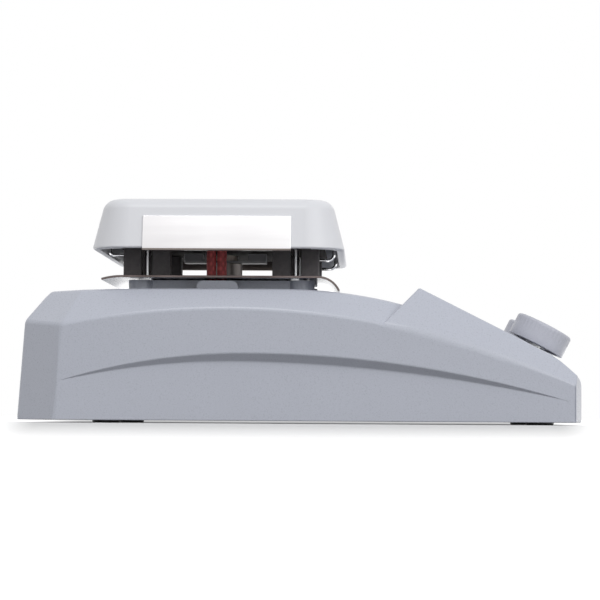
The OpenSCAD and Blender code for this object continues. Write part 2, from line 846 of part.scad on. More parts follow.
// The three contact blades of the inlet, grown by t on their sides
module pin_blades(t) {
    start = seat_x - inlet_t + socket_l - pin_l;
    for (i = [-1, 0, 1])
        translate([
            start,
            inlet_y + i * pin_pitch - pin_w / 2 - t,
            inlet_z + (i == 0 ? pin_step : -pin_step) - pin_h / 2 - t
        ])
            cube([seat_x + inlet_l + pin_tail - start, pin_w + 2 * t, pin_h + 2 * t]);
}

module inlet_pins() {
    color("#c8c9cb")
        pin_blades(0);
}

module power_board() {
    color("#2f6b46")
        difference() {
            translate([supply_x - supply_l / 2, -supply_w / 2, supply_z])
                cube([supply_l, supply_w, board_t]);
            at_supply(supply_z - 1)
                cylinder(r = small_screw_r + fit, h = board_t + 2);
        }
}

module board_posts() {
    color("#b9b28a")
        at_supply(base_top)
            difference() {
                cylinder(r = boss_r, h = supply_post_h);
                translate([0, 0, -1])
                    cylinder(r = small_screw_r, h = supply_post_h + 2);
            }
}

module supply_screws() {
    color("#9a9da2")
        at_supply(supply_top) {
            cylinder(r = 2 * small_screw_r, h = head_h);
            translate([0, 0, -board_t - grip_l])
                cylinder(r = small_screw_r - press, h = board_t + grip_l);
        }
}

module transformer() {
    color("#5a5148")
        translate([supply_x, transformer_y, supply_top]) {
            translate([-transformer_l / 2, -transformer_w / 6, 0])
                cube([transformer_l, transformer_w / 3, transformer_h]);
            translate([-transformer_l / 3, -transformer_w / 2, 0])
                cube([transformer_l / 1.5, transformer_w, transformer_h - coil_drop]);
        }
}

module heat_sink() {
    color("#a7a9ad")
        translate([supply_x, sink_side - supply_w / 2, supply_top]) {
            translate([-sink_t / 2, -sink_w / 2, 0])
                cube([sink_t, sink_w, sink_h]);
            for (i = [0:4])
                translate([-sink_l / 2, i * (sink_w - fin_t) / 4 - sink_w / 2, sink_t])
                    cube([sink_l, fin_t, sink_h - sink_t]);
        }
}

module control_board() {
    color("#2f6b46")
        on_panel()
            difference() {
                translate([board_top, -board_w / 2, -board_gap - board_t])
                    cube([board_l, board_w, board_t]);
                at(board_holes, -board_gap - board_t - 1)
                    cylinder(r = small_screw_r + fit, h = board_t + 2);
            }
}

module board_screws() {
    color("#9a9da2")
        on_panel()
            at(board_holes, -board_gap - board_t) {
                translate([0, 0, -head_h])
                    cylinder(r = 2 * small_screw_r, h = head_h);
                cylinder(r = small_screw_r - press, h = board_t + grip_l);
            }
}

module display_module() {
    color("#17181a")
        on_panel()
            translate([window_down, 0, -board_gap])
                slab(window_l - 2, window_w - 4, board_gap + overlay_t - window_t, 1);
}

module display_window() {
    color("#2a1214")
        on_panel()
            translate([window_down, 0, overlay_t - window_t])
                slab(window_l, window_w, window_t, 2);
}

module indicator_lights() {
    color("#d98a2b")
        on_panel()
            at(light_places, -board_gap)
                rotate_extrude()
                    polygon([
                        [0, 0], [light_r, 0], [light_r, board_gap + overlay_t],
                        [light_r * 0.7, board_gap + overlay_t + light_r * 0.35],
                        [0, board_gap + overlay_t + light_r * 0.45]
                    ]);
}

module control_overlay() {
    color("#c3c5ce")
        on_panel()
            difference() {
                translate([overlay_top + overlay_l / 2, 0, 0])
                    slab(overlay_l, overlay_w, overlay_t, 4);
                at(knob_places, -1)
                    cylinder(r = control_nut_w / 2 + 1, h = 3);
                at(light_places, -1)
                    cylinder(r = light_r + fit, h = 3);
                translate([window_down, 0, -1])
                    slab(window_l + 2 * fit, window_w + 2 * fit, 3, 2 + fit);
            }
}

// Rotary control on the board, with its threaded bush through the panel
module rotary_control() {
    difference() {
        union() {
            translate([0, 0, -board_gap])
                cylinder(r = control_r, h = board_gap - wall - 2 * fit);
            translate([0, 0, -board_gap])
                cylinder(r = collet_r, h = board_gap + control_nut_h + 0.5);
        }
        translate([0, 0, control_floor - board_gap])
            cylinder(r = spindle_r + running, h = board_gap + control_nut_h);
    }
}

module heat_control() {
    color("#4a4d55")
        on_panel()
            translate(knob_places[0])
                rotary_control();
}

module stir_control() {
    color("#4a4d55")
        on_panel()
            translate(knob_places[1])
                rotary_control();
}

module control_nuts() {
    color("#cfcfd0")
        on_panel()
            at(knob_places)
                difference() {
                    cylinder(r = control_nut_w / 2, h = control_nut_h, $fn = 6);
                    translate([0, 0, -1])
                        cylinder(r = collet_r + press, h = control_nut_h + 2);
                }
}

// Turned form of a knob: straight sides, rounded upper edge and a slightly crowned top
module knob_form() {
    edge = [knob_r - knob_edge_r, knob_h - knob_crown - knob_edge_r];
    flat_r = edge[0];
    steps = 6;
    rotate_extrude()
        polygon(concat(
            [[0, 0], [knob_r, 0]],
            [for (i = [0:steps]) swing(edge, knob_edge_r, 90 - 82 * i / steps)],
            [for (i = [1:steps]) let (d = flat_r * (1 - i / steps))
                [d, knob_h - knob_crown * pow(d / flat_r, 2)]]
        ));
}

// Slot for the pointer line, grown by t
module pointer_slot(t) {
    translate([knob_r - knob_edge_r - pointer_l - t, -pointer_w / 2 - t, knob_h - knob_crown - 0.6 - t])
        cube([pointer_l + 2 * t, pointer_w + 2 * t, knob_h]);
}

module knob(place) {
    flute_r = 0.8;
    hub_wall = 2.5;
    on_panel()
        translate([place[0], place[1], knob_gap])
            rotate([0, 0, off_turn])
                difference() {
                    knob_form();
                    difference() {
                        translate([0, 0, -1])
                            cylinder(r = knob_r - knob_t, h = knob_h - knob_t + 1);
                        translate([0, 0, -2])
                            cylinder(r = spindle_r + hub_wall, h = knob_h);
                    }
                    translate([0, 0, -1])
                        cylinder(r = spindle_r + press, h = knob_h - knob_t + 1);
                    for (i = [0:flutes - 1])
                        rotate([0, 0, (i + 0.5) * 360 / flutes])
                            translate([knob_r + flute_r - flute_t, 0, knob_h * 0.45])
                                cylinder(r = flute_r, h = knob_h, $fn = 24);
                    pointer_slot(press);
                }
}

module pointer(place) {
    on_panel()
        translate([place[0], place[1], knob_gap])
            rotate([0, 0, off_turn])
                intersection() {
                    knob_form();
                    pointer_slot(0);
                }
}

module spindle(place) {
    low = control_floor + fit - board_gap;
    on_panel()
        translate([place[0], place[1], low])
            cylinder(r = spindle_r, h = knob_top - knob_t - fit - low);
}

module heat_knob() {
    color("#a7a9b5")
        knob(knob_places[0]);
}

module stir_knob() {
    color("#a7a9b5")
        knob(knob_places[1]);
}

module heat_pointer() {
    color("white")
        pointer(knob_places[0]);
}

module stir_pointer() {
    color("white")
        pointer(knob_places[1]);
}

module heat_spindle() {
    color("#c8c9cb")
        spindle(knob_places[0]);
}

module stir_spindle() {
    color("#c8c9cb")
        spindle(knob_places[1]);
}

module motor_grommets() {
    color("#1c1c1e")
        at_bracket(hang_z - grommet_t)
            difference() {
                cylinder(r = boss_r + 1, h = grommet_t);
                translate([0, 0, -1])
                    cylinder(r = base_screw_r + fit, h = grommet_t + 2);
            }
}

module motor_bracket() {
    color("#8c9096")
        difference() {
            translate([plate_x, 0, bracket_z])
                slab(bracket_l, bracket_l, bracket_t, boss_r + 1);
            translate([plate_x, 0, bracket_z - 1])
                cylinder(r = tower_r + fit, h = bracket_t + 2);
            at_bracket(bracket_z - 1)
                cylinder(r = base_screw_r + fit, h = bracket_t + 2);
        }
}

module motor_screws() {
    color("#9a9da2")
        at_bracket(bracket_z) {
            translate([0, 0, -head_h])
                cylinder(r = 2 * base_screw_r, h = head_h);
            cylinder(r = base_screw_r - press, h = bracket_t + grommet_t + hang_h);
        }
}

module motor_can() {
    color("#6f7278")
        translate([plate_x, 0, can_z])
            difference() {
                cylinder(r = motor_r, h = motor_h);
                translate([0, 0, -1])
                    cylinder(r = motor_r - can_t, h = motor_h - can_t + 1);
                cylinder(r = shaft_r + 1, h = motor_h + 1);
            }
}

module motor_cap() {
    color("#6f7278")
        translate([plate_x, 0, cap_z])
            difference() {
                cylinder(r = motor_r, h = cap_t);
                translate([0, 0, -1])
                    cylinder(r = bush_r + press, h = cap_t + 2);
            }
}

module motor_stator() {
    color("#7a6a58")
        translate([plate_x, 0, core_z])
            difference() {
                cylinder(r = motor_r - can_t - press, h = core_h);
                translate([0, 0, -1])
                    cylinder(r = motor_r - can_t - stator_t, h = core_h + 2);
            }
}

module motor_tower() {
    color("#8a8780")
        translate([plate_x, 0, bracket_z])
            difference() {
                cylinder(r = tower_r, h = tower_top - bracket_z);
                translate([0, 0, -1])
                    cylinder(r = shaft_r + 1, h = tower_top - bracket_z + 2);
                translate([0, 0, tower_top - bracket_z - bush_l])
                    cylinder(r = bush_r + press, h = bush_l + 1);
            }
}

module motor_bushes() {
    color("#b08a4a")
        for (z = [cap_z, tower_top - bush_l])
            translate([plate_x, 0, z])
                difference() {
                    cylinder(r = bush_r, h = bush_l);
                    translate([0, 0, -1])
                        cylinder(r = shaft_r + running, h = bush_l + 2);
                }
}

module motor_armature() {
    color("#7a4f35")
        translate([plate_x, 0, core_z])
            difference() {
                cylinder(r = armature_r, h = core_h);
                translate([0, 0, -1])
                    cylinder(r = shaft_r + press, h = core_h + 2);
            }
}

module drive_shaft() {
    color("#c8c9cb")
        translate([plate_x, 0, cap_z + 1])
            cylinder(r = shaft_r, h = magnet_z + hub_h - cap_z - 1);
}

module magnet_carrier() {
    color("#7d7c7e")
        translate([plate_x, 0, carrier_z])
            difference() {
                slab(carrier_l, carrier_w, carrier_t, 1);
                translate([0, 0, -1])
                    cylinder(r = shaft_r + press, h = carrier_t + 2);
            }
}

module drive_magnets() {
    color("#3a3a3e")
        for (s = [-1, 1])
            translate([plate_x + s * (carrier_l - magnet_l) / 2, 0, magnet_z])
                slab(magnet_l, carrier_w, magnet_h, 0.5);
}

module rotor_hub() {
    color("#b99a5e")
        translate([plate_x, 0, magnet_z])
            difference() {
                cylinder(r = hub_r, h = hub_h);
                translate([0, 0, -1])
                    cylinder(r = shaft_r + press, h = hub_h + 2);
            }
}

module shield_washers() {
    color("#1c1c1e")
        at_studs(collar_top)
            difference() {
                cylinder(r = 2.6 * stud_r, h = washer_t);
                translate([0, 0, -1])
                    cylinder(r = stud_r + fit, h = washer_t + 2);
            }
}

module heat_shield() {
    color("#cdced1")
        difference() {
            translate([plate_x, 0, shield_z])
                rotate([90, 0, 0])
                    linear_extrude(shield_w, center = true)
                        polygon(concat(
                            wing(wing_drop_front, 0),
                            reversed(wing(wing_drop_front, shield_t)),
                            flipped(wing(wing_drop_rear, shield_t)),
                            reversed(flipped(wing(wing_drop_rear, 0)))
                        ));
            translate([plate_x, 0, shield_z - 1])
                cylinder(r = tower_r + 2 * fit, h = shield_t + 2);
            at_studs(shield_z - 1)
                cylinder(r = stud_r + fit, h = shield_t + 2);
            at(sleeve_places, shield_z - 1)
                cylinder(r = sleeve_r + fit / 2, h = shield_t + 2);
            translate([probe_place[0], probe_place[1], shield_z - 1])
                cylinder(r = probe_r + fit, h = shield_t + 2);
        }
}

module support_studs() {
    color("#c8c9cb")
        at_studs(collar_top - stud_sink)
            cylinder(r = stud_r, h = pad_z + nut_h - collar_top + stud_sink);
}

// Middle of a standoff block beside its stud, on the inner side (-1) or the outer side (1)
function block_x(side) = stud_x + side * (block_gap + block_l) / 2;

module standoff_blocks() {
    color("#3f3d42")
        difference() {
            for (c = corner_signs)
                for (side = [-1, 1])
                    translate([
                        plate_x + c[0] * block_x(side) - block_l / 2,
                        c[1] * stud_y - block_w / 2,
                        shield_top
                    ])
                        cube([block_l, block_w, block_h]);
            clip_holes();
        }
}

module heater_tray() {
    color("#6b6d72")
        difference() {
            translate([plate_x, 0, tray_z])
                slab(tray_l, tray_w, tray_t, 8);
            at_studs(tray_z - 1)
                cylinder(r = stud_r + fit, h = tray_t + 2);
            at(sleeve_places, tray_z - 1)
                cylinder(r = sleeve_r + fit / 2, h = tray_t + 2);
            translate([probe_place[0], probe_place[1], tray_z - 1])
                cylinder(r = probe_r + fit, h = tray_t + 2);
        }
}

module stud_nuts() {
    color("#9a9da2")
        at_studs(pad_z)
            difference() {
                cylinder(r = nut_w / 2, h = nut_h, $fn = 6);
                translate([0, 0, -1])
                    cylinder(r = stud_r + press, h = nut_h + 2);
            }
}

// Holes in the outer blocks that take the clips' legs
module clip_holes() {
    for (c = corner_signs)
        translate([plate_x + c[0] * clip_start, c[1] * clip_y, tray_z - clip_drop(c[0])])
            rotate([0, c[0] * 90, 0])
                translate([0, 0, -press])
                    cylinder(r = clip_r + press, h = 2 * clip_sink);
}

// Drop of the front (1) and the rear (-1) clips' legs below the tray, and the radius of their bends
function clip_drop(end) = end > 0 ? clip_low : clip_high;
function clip_bend(end) = clip_drop(end) / 2;

module retaining_clips() {
    color("#bfc0c3")
        for (c = corner_signs) {
            bend = clip_bend(c[0]);
            drop = clip_drop(c[0]);
            translate([plate_x, c[1] * clip_y, tray_z - drop])
                rotate([0, 0, c[0] < 0 ? 180 : 0]) {
                    translate([clip_reach - bend, 0, 0])
                        rotate([0, -90, 0])
                            cylinder(r = clip_r, h = clip_reach - bend - clip_start);
                    translate([clip_reach - bend, 0, bend])
                        rotate([90, 0, 0])
                            rotate([0, 0, -90])
                                rotate_extrude(angle = 90)
                                    translate([bend, 0])
                                        circle(clip_r);
                    translate([clip_reach, 0, bend])
                        cylinder(r = clip_r, h = drop - bend);
                }
        }
}

module insulation_pad() {
    color("#d8d4c8")
        difference() {
            translate([plate_x, 0, pad_z])
                slab(pad_l, pad_w, pad_t, 6);
            at_studs(pad_z - 1)
                cylinder(r = nut_w / 2 + fit, h = nut_h + 2);
            at(sleeve_places, pad_z - 1)
                cylinder(r = lead_r + fit, h = pad_t + 2);
            translate([probe_place[0], probe_place[1], pad_z - 1])
                cylinder(r = probe_r + fit, h = pad_t + 2);
        }
}

module heating_element() {
    color("#8a7f72")
        difference() {
            translate([plate_x, 0, heater_z])
                slab(pad_l, pad_w, heater_t, 6);
            translate([probe_place[0], probe_place[1], heater_z - 1])
                cylinder(r = probe_r + fit, h = heater_t + 2);
        }
}

module temperature_probe() {
    color("#b9babd")
        translate([probe_place[0], probe_place[1], deck_under - 4])
            cylinder(r = probe_r, h = plate_under - deck_under + 4);
}

module lead_terminal() {
    color("#e6e2d6")
        difference() {
            translate([plate_x - sleeve_behind, -sleeve_y, deck_under - terminal_h])
                slab(terminal_l, terminal_w, terminal_h, 1);
            at(sleeve_places, deck_under - terminal_h + 1)
                cylinder(r = lead_r + press, h = terminal_h);
        }
}

module heater_leads() {
    color("#b87a52")
        at(sleeve_places, deck_under - terminal_h + 1)
            cylinder(r = lead_r, h = heater_z - deck_under + terminal_h - 1);
}

module lead_sleeves() {
    color("#8e2f2f")
        at(sleeve_places, deck_under)
            difference() {
                cylinder(r = sleeve_r, h = pad_z - deck_under);
                translate([0, 0, -1])
                    cylinder(r = lead_r + fit / 2, h = pad_z - deck_under + 2);
            }
}

// One corner of the top plate, turned about the corner's own axis and set in by t
module plate_corner(t) {
    lean = tan(plate_draft);
    r = plate_corner_r - t;
    h = plate_h - t;
    round_r = plate_edge_r - t;
    steps = 6;
    round_c = [r - lean * (h - round_r - plate_rim) - round_r / cos(plate_draft), h - round_r];
    arc = [for (i = [0:steps]) swing(round_c, round_r, (90 - plate_draft) * (1 - i / steps))];
    foot = t > 0
        ? [[0, -plate_rim], [r + 2 * lean * plate_rim, -plate_rim]]
        : [[0, 0], [r - plate_rim, 0], [r, plate_rim]];
    rotate_extrude($fn = 48)
        polygon(concat(foot, arc, [[0, h]]));
}

// Tray form of the top plate, open below, set in by t
module plate_form(t) {
    hull()
        at([for (c = corner_signs) [
            plate_x + c[0] * (plate_l / 2 - plate_corner_r),
            c[1] * (plate_w / 2 - plate_corner_r)
        ]], rim_z)
            plate_corner(t);
}

module top_plate() {
    color("#eceef1")
        difference() {
            plate_form(0);
            plate_form(plate_t);
        }
}

// Steel panel hooked over the rim on one side: outer face, fold under the rim and inner leg
module trim_panel() {
    lean = tan(plate_draft);
    outer = plate_w / 2 + fit;
    inner = plate_w / 2 - plate_t - fit;
    low = rim_z - fit - trim_t;
    wide = rim_z + plate_rim;
    top = low + trim_h;
    leg = rim_z + trim_leg;
    translate([plate_x - trim_behind - trim_l / 2, 0, 0])
        rotate([90, 0, 90])
            linear_extrude(trim_l)
                polygon([
                    [outer + trim_t, low],
                    [outer + trim_t, wide],
                    [outer + trim_t - lean * (top - wide), top],
                    [outer - lean * (top - wide), top],
                    [outer, wide],
                    [outer, low + trim_t],
                    [inner, low + trim_t],
                    [inner, wide],
                    [inner - lean * (leg - wide), leg],
                    [inner - trim_t - lean * (leg - wide), leg],
                    [inner - trim_t, wide],
                    [inner - trim_t, low]
                ]);
}

module left_trim() {
    color("#dcdcdf")
        mirror([0, 1, 0])
            trim_panel();
}

module right_trim() {
    color("#dcdcdf")
        trim_panel();
}

housing();
base_plate();
rubber_feet();
base_screws();
power_inlet();
inlet_pins();
power_board();
board_posts();
transformer();
heat_sink();
supply_screws();
control_board();
board_screws();
display_module();
display_window();
indicator_lights();
control_overlay();
heat_control();
stir_control();
control_nuts();
heat_spindle();
heat_knob();
heat_pointer();
stir_spindle();
stir_knob();
stir_pointer();
motor_grommets();
motor_bracket();
motor_screws();
motor_can();
motor_cap();
motor_stator();
motor_tower();
motor_bushes();
motor_armature();
drive_shaft();
magnet_carrier();
drive_magnets();
rotor_hub();
shield_washers();
heat_shield();
support_studs();
standoff_blocks();
heater_tray();
stud_nuts();
retaining_clips();
insulation_pad();
heating_element();
temperature_probe();
lead_terminal();
heater_leads();
lead_sleeves();
top_plate();
left_trim();
right_trim();
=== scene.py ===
import math

import bpy
from mathutils import Matrix, Vector


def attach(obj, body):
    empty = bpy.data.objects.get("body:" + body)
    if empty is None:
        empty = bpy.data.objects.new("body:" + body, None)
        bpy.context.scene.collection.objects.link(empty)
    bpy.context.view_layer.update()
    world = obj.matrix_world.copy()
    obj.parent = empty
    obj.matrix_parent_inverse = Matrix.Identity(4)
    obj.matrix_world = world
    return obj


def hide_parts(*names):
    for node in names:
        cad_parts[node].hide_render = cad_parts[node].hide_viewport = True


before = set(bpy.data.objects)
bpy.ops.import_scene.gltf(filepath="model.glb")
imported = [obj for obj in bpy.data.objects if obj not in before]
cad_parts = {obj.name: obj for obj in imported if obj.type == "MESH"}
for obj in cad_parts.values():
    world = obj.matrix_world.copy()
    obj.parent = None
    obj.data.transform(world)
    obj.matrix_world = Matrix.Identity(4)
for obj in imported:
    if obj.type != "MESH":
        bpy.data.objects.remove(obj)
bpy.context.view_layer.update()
MM = 0.001

# Camera
# It stands level with the table, square to the left side of the stirrer, and looks
# slightly up and back, so that the object sits low in the frame as in the photograph.
eye = Vector((33.45, -1360.7, 2.7)) * MM
yaw, pitch, roll = (math.radians(a) for a in (-1.4714, 2.6434, 0.3489))
ahead = Vector((math.sin(yaw) * math.cos(pitch), math.cos(yaw) * math.cos(pitch), math.sin(pitch)))
level = Vector((math.cos(yaw), -math.sin(yaw), 0.0))
upright = level.cross(ahead)
right = level * math.cos(roll) + upright * math.sin(roll)
above = upright * math.cos(roll) - level * math.sin(roll)
lens = bpy.data.cameras.new("camera")
lens.sensor_width = 36.0
lens.lens = 153.88
lens.clip_start = 0.05
lens.clip_end = 60.0
camera = bpy.data.objects.new("camera", lens)
camera.matrix_world = Matrix.Translation(eye) @ Matrix((right, above, -ahead)).transposed().to_4x4()
bpy.context.scene.collection.objects.link(camera)
bpy.context.scene.camera = camera
bpy.context.scene.view_settings.view_transform = "Standard"


# Studio
# A light tent, brightest low down, stands over a floor that falls gently away in front and
# rises a little behind. A soft lamp adds light from the right, and a small one from above the
# camera draws a line of light along the rounded edges.
class Wire:
    """One socket in a node tree. Arithmetic on it adds Math nodes."""

    def __init__(self, tree, socket):
        self.tree = tree
        self.socket = socket

    def node(self, kind, inputs, output=0, **settings):
        made = self.tree.nodes.new(kind)
        for name, value in settings.items():
            setattr(made, name, value)
        for key, value in inputs.items():
            if isinstance(value, Wire):
                self.tree.links.new(value.socket, made.inputs[key])
            else:
                made.inputs[key].default_value = value
        return Wire(self.tree, made.outputs[output])

    def other(self, output):
        """Another output of the same node."""
        return Wire(self.tree, self.socket.node.outputs[output])

    def math(self, operation, first, second=0.0):
        return self.node("ShaderNodeMath", {0: first, 1: second}, operation=operation)

    def vector(self, operation, first, second=(0.0, 0.0, 0.0), output="Vector"):
        return self.node("ShaderNodeVectorMath", {0: first, 1: second}, output, operation=operation)

    def along(self, axis):
        """One coordinate of a place."""
        return self.node("ShaderNodeSeparateXYZ", {"Vector": self}, axis)

    def span(self, low, high, first, last):
        """Goes from the first value to the last while this one goes from low to high."""
        ends = {"From Min": low, "From Max": high, "To Min": first, "To Max": last}
        return self.node("ShaderNodeMapRange", {"Value": self, **ends})

    def __add__(self, other):
        return self.math("ADD", self, other)

    def __radd__(self, other):
        return self.math("ADD", other, self)

    def __sub__(self, other):
        return self.math("SUBTRACT", self, other)

    def __rsub__(self, other):
        return self.math("SUBTRACT", other, self)

    def __mul__(self, other):
        return self.math("MULTIPLY", self, other)

    def __rmul__(self, other):
        return self.math("MULTIPLY", other, self)

    def mix(self, first, second):
        """Colour that goes from the first to the second as this value goes from 0 to 1."""
        return self.node(
            "ShaderNodeMix",
            {"Factor": self, "A": (*first, 1.0) if isinstance(first, tuple) else first,
             "B": (*second, 1.0) if isinstance(second, tuple) else second},
            output="Result", data_type="RGBA")


def start_finish(name, **constants):
    """A material with its constants set, its shader, and the place on the piece."""
    material = bpy.data.materials.new(name)
    material.use_nodes = True
    tree = material.node_tree
    shader = tree.nodes["Principled BSDF"]
    for socket, value in constants.items():
        shader.inputs[socket.replace("_", " ")].default_value = value
    return material, shader, Wire(tree, tree.nodes.new("ShaderNodeTexCoord").outputs["Object"])


def feed(shader, **wires):
    for socket, wire in wires.items():
        wire.tree.links.new(wire.socket, shader.inputs[socket.replace("_", " ")])


world = bpy.data.worlds.new("studio")
world.use_nodes = True
bpy.context.scene.world = world
background = world.node_tree.nodes["Background"]
background.inputs["Color"].default_value = (1.0, 1.0, 1.0, 1.0)
sky = Wire(world.node_tree, background.outputs[0])
rays = sky.node("ShaderNodeLightPath", {}, "Is Camera Ray")
seen = sky.math("MINIMUM", rays + rays.other("Is Glossy Ray") + rays.other("Is Transmission Ray"), 1.0)
height = sky.node("ShaderNodeNewGeometry", {}, "Incoming").along("Z")
tent_low, tent_fall = 1.02, 0.5
tent = tent_low - tent_fall * sky.math("ABSOLUTE", height)
feed(background, Strength=tent + (1.0 - tent) * seen)

aim = Vector((0.0, 0.0, 0.05))
for name, place, size, power in (
    ("side_lamp", (1.2, -1.55, 0.88), (1.8, 1.2), 15.5),
    ("upper_lamp", (-0.1, -1.2, 1.58), (0.4, 0.2), 5.0),
):
    lamp = bpy.data.lights.new(name, "AREA")
    lamp.shape = "RECTANGLE"
    lamp.size, lamp.size_y = size
    lamp.energy = power
    holder = bpy.data.objects.new(name, lamp)
    holder.location = place
    holder.rotation_euler = (aim - Vector(place)).to_track_quat("-Z", "Y").to_euler()
    bpy.context.scene.collection.objects.link(holder)

# the floor's rows of points lie close together in front of the housing and step up behind it
floor_rows, row_gap = 60, 0.4
front_line, rear_line = -0.099, 0.099
fall, first_step, growth = 0.16, 0.012, 1.3
ramp, ramp_rise = 0.06, 0.0016
bpy.ops.object.select_all(action="DESELECT")
bpy.ops.mesh.primitive_grid_add(x_subdivisions=2, y_subdivisions=floor_rows, size=floor_rows * row_gap)
floor = bpy.context.object
floor.name = "floor"
for point in floor.data.vertices:
    row = round(point.co.y / row_gap)
    if row <= 0:
        away = first_step * growth ** (-1 - row) if row else 0.0
        point.co.y = front_line - away
        point.co.z = -fall * away
    elif row == 1:
        point.co.y = rear_line
    else:
        point.co.y = rear_line + ramp if row == 2 else (row - 2) * row_gap
        point.co.z = ramp_rise

# to the camera it shows white, with a soft shadow round the housing; the shadow is partly painted, as the
# floor's glow is held low near the housing and rises to white away from it
paint, paint_shader, spot = start_finish(
    "floor_white", Roughness=1.0, Specular_IOR_Level=0.0, Emission_Strength=1.0)
shadow_half, shadow_stretch = (0.127, 0.0985, 1.0), (2.6, 1.0, 1.0)
shadow_start, shadow_end, shadow_glow = 0.008, 0.11, 0.05
rays = spot.node("ShaderNodeLightPath", {}, "Is Camera Ray")
shown = spot.math("MAXIMUM", rays, rays.other("Is Glossy Ray"))
outside = spot.vector("SUBTRACT", spot.vector("ABSOLUTE", spot), shadow_half)
outside = spot.vector("MULTIPLY", spot.vector("MAXIMUM", outside), shadow_stretch)
reach = spot.vector("LENGTH", outside, output="Value")
glow = reach.span(shadow_start, shadow_end, shadow_glow, 1.0)
feed(paint_shader, Base_Color=shown.mix((0.1, 0.1, 0.1), (0.7, 0.7, 0.7)), Emission_Color=shown * glow)
floor.data.materials.append(paint)


# Housing
# Moulded in one shell of textured grey plastic: arched sides with a shallow recess under
# a lip, bevels above the crease, a rear slope, a level deck and the sloping console.
def noise(place, scale, detail=2.0, roughness=0.5):
    return place.node("ShaderNodeTexNoise", {
        "Vector": place, "Scale": scale, "Detail": detail, "Roughness": roughness})


def bump(height, strength, depth):
    return height.node("ShaderNodeBump", {
        "Height": height, "Strength": strength, "Distance": depth}, "Normal")


def textured_plastic(name, colour, grain, relief):
    """Moulded plastic with a fine spark-eroded texture and faint flow clouds."""
    material, shader, place = start_finish(name, Specular_IOR_Level=0.5)
    fine = noise(place, grain, 3.0, 0.6)
    clouds = noise(place, 22.0, 2.0)
    dark = tuple(c * 0.93 for c in colour)
    pale = tuple(min(1.0, c * 1.06) for c in colour)
    tone = (fine - 0.5) * 1.5 + (clouds - 0.5) * 0.35 + 0.5
    feed(shader, Base_Color=tone.mix(dark, pale), Roughness=0.22 + 0.14 * fine,
         Normal=bump(fine, relief, 0.0002))
    return material


def pick(piece):
    """Makes a piece the only one that is selected."""
    bpy.ops.object.select_all(action="DESELECT")
    bpy.context.view_layer.objects.active = piece
    piece.select_set(True)


def open_mesh(piece):
    """Opens a piece for editing with all of its mesh selected."""
    pick(piece)
    bpy.ops.object.mode_set(mode="EDIT")
    bpy.ops.mesh.select_all(action="SELECT")


def close_mesh():
    bpy.ops.object.mode_set(mode="OBJECT")


def skin(name, rings):
    """A closed form through rings of points, with its two ends filled."""
    bpy.ops.object.select_all(action="DESELECT")
    around = len(rings[0])
    bpy.ops.mesh.primitive_grid_add(x_subdivisions=around, y_subdivisions=len(rings) - 1)
    piece = bpy.context.object
    piece.name = name
    for row, ring in enumerate(rings):
        for column in range(around + 1):
            piece.data.vertices[row * (around + 1) + column].co = Vector(ring[column % around]) * MM
    open_mesh(piece)
    bpy.ops.mesh.remove_doubles(threshold=2e-6)
    bpy.ops.mesh.select_all(action="DESELECT")
    bpy.ops.mesh.select_non_manifold()
    bpy.ops.mesh.fill_holes(sides=0)
    bpy.ops.mesh.select_all(action="SELECT")
    bpy.ops.mesh.normals_make_consistent(inside=False)
    close_mesh()
    return piece


def cut_off(piece, point, outward):
    """Takes away what lies beyond a plane and closes the cut."""
    open_mesh(piece)
    bpy.ops.mesh.bisect(plane_co=Vector(point) * MM, plane_no=Vector(outward).normalized(),
                        use_fill=True, clear_outer=True)
    close_mesh()


def use(piece, kind, **settings):
    """Adds a modifier and applies it."""
    pick(piece)
    made = piece.modifiers.new(kind.lower(), kind)
    for name, value in settings.items():
        setattr(made, name, value)
    bpy.ops.object.modifier_apply(modifier=made.name)


def combine(piece, other, operation):
    use(piece, "BOOLEAN", object=other, operation=operation, solver="MANIFOLD")
    bpy.data.objects.remove(other)


def shade(piece):
    """Smooth shading, with corners left sharp."""
    pick(piece)
    bpy.ops.object.shade_smooth_by_angle(angle=math.radians(35.0))


def smooth(piece):
    """The same, with flat faces kept flat."""
    shade(piece)
    use(piece, "WEIGHTED_NORMAL", weight=80, keep_sharp=True)


# the outline: ends, corners, deck, slope, crease, recess and console
rear_x, front_x, half_w, edge_z = -141.0, 141.0, 98.5, 1.3
rear_lean = math.radians(4.1)
corner_in, rear_corner, front_corner = 19.0, 20.5, 4.0
deck_z, fall_x, fall_r = 67.0, -7.0, 240.0
droop, droop_x = 0.02, -80.0
plate_x = -41.0
rear_top, slope = 50.8, math.radians(53.0)
slope_foot = rear_x + (rear_top - edge_z) * math.tan(rear_lean)
slope_head = slope_foot + (deck_z - rear_top) / math.tan(slope)
crease_x, crease_z, crease_r = -35.0, 57.1, 400.0
side_bevel, console_bevel, lip_share, least = 45.0, 60.0, 0.414, 0.3
recess_start, recess_end, recess_in = rear_x + 22.0, front_x - 9.5, 4.3
arch_x, arch_z, arch_rear_r, arch_front_r = -25.0, 34.7, 315.0, 560.0
console_x, console_z, panel_length = 60.0, 68.0, 71.0
bend_r, nose_r = 40.0, 5.0
panel_angle, nose_angle, console_rear = (math.radians(a) for a in (27.0, 42.0, 46.0))


def sag(radius, away):
    return radius - math.sqrt(radius * radius - away * away)


def heading(angle):
    return Vector((math.sin(angle), math.cos(angle)))


def crease(x):
    """Height of the crease: the edge of a bevel cylinder that leans over by 45 degrees."""
    return crease_z - math.sqrt(2.0) * sag(crease_r * math.sqrt(2.0), x - crease_x)


def deck_height(x, wall):
    flat = deck_z - wall - sag(fall_r - wall, max(0.0, x - fall_x)) - droop * max(0.0, droop_x - x)
    return min(flat, deck_z - (slope_head - x) * math.tan(slope) - wall / math.cos(slope))


def recess_depth(x):
    half, middle = (recess_end - recess_start) / 2.0, (recess_end + recess_start) / 2.0
    bow = (half * half + recess_in * recess_in) / (2.0 * recess_in)
    return max(0.0, recess_in - sag(bow, min(half, abs(x - middle))))


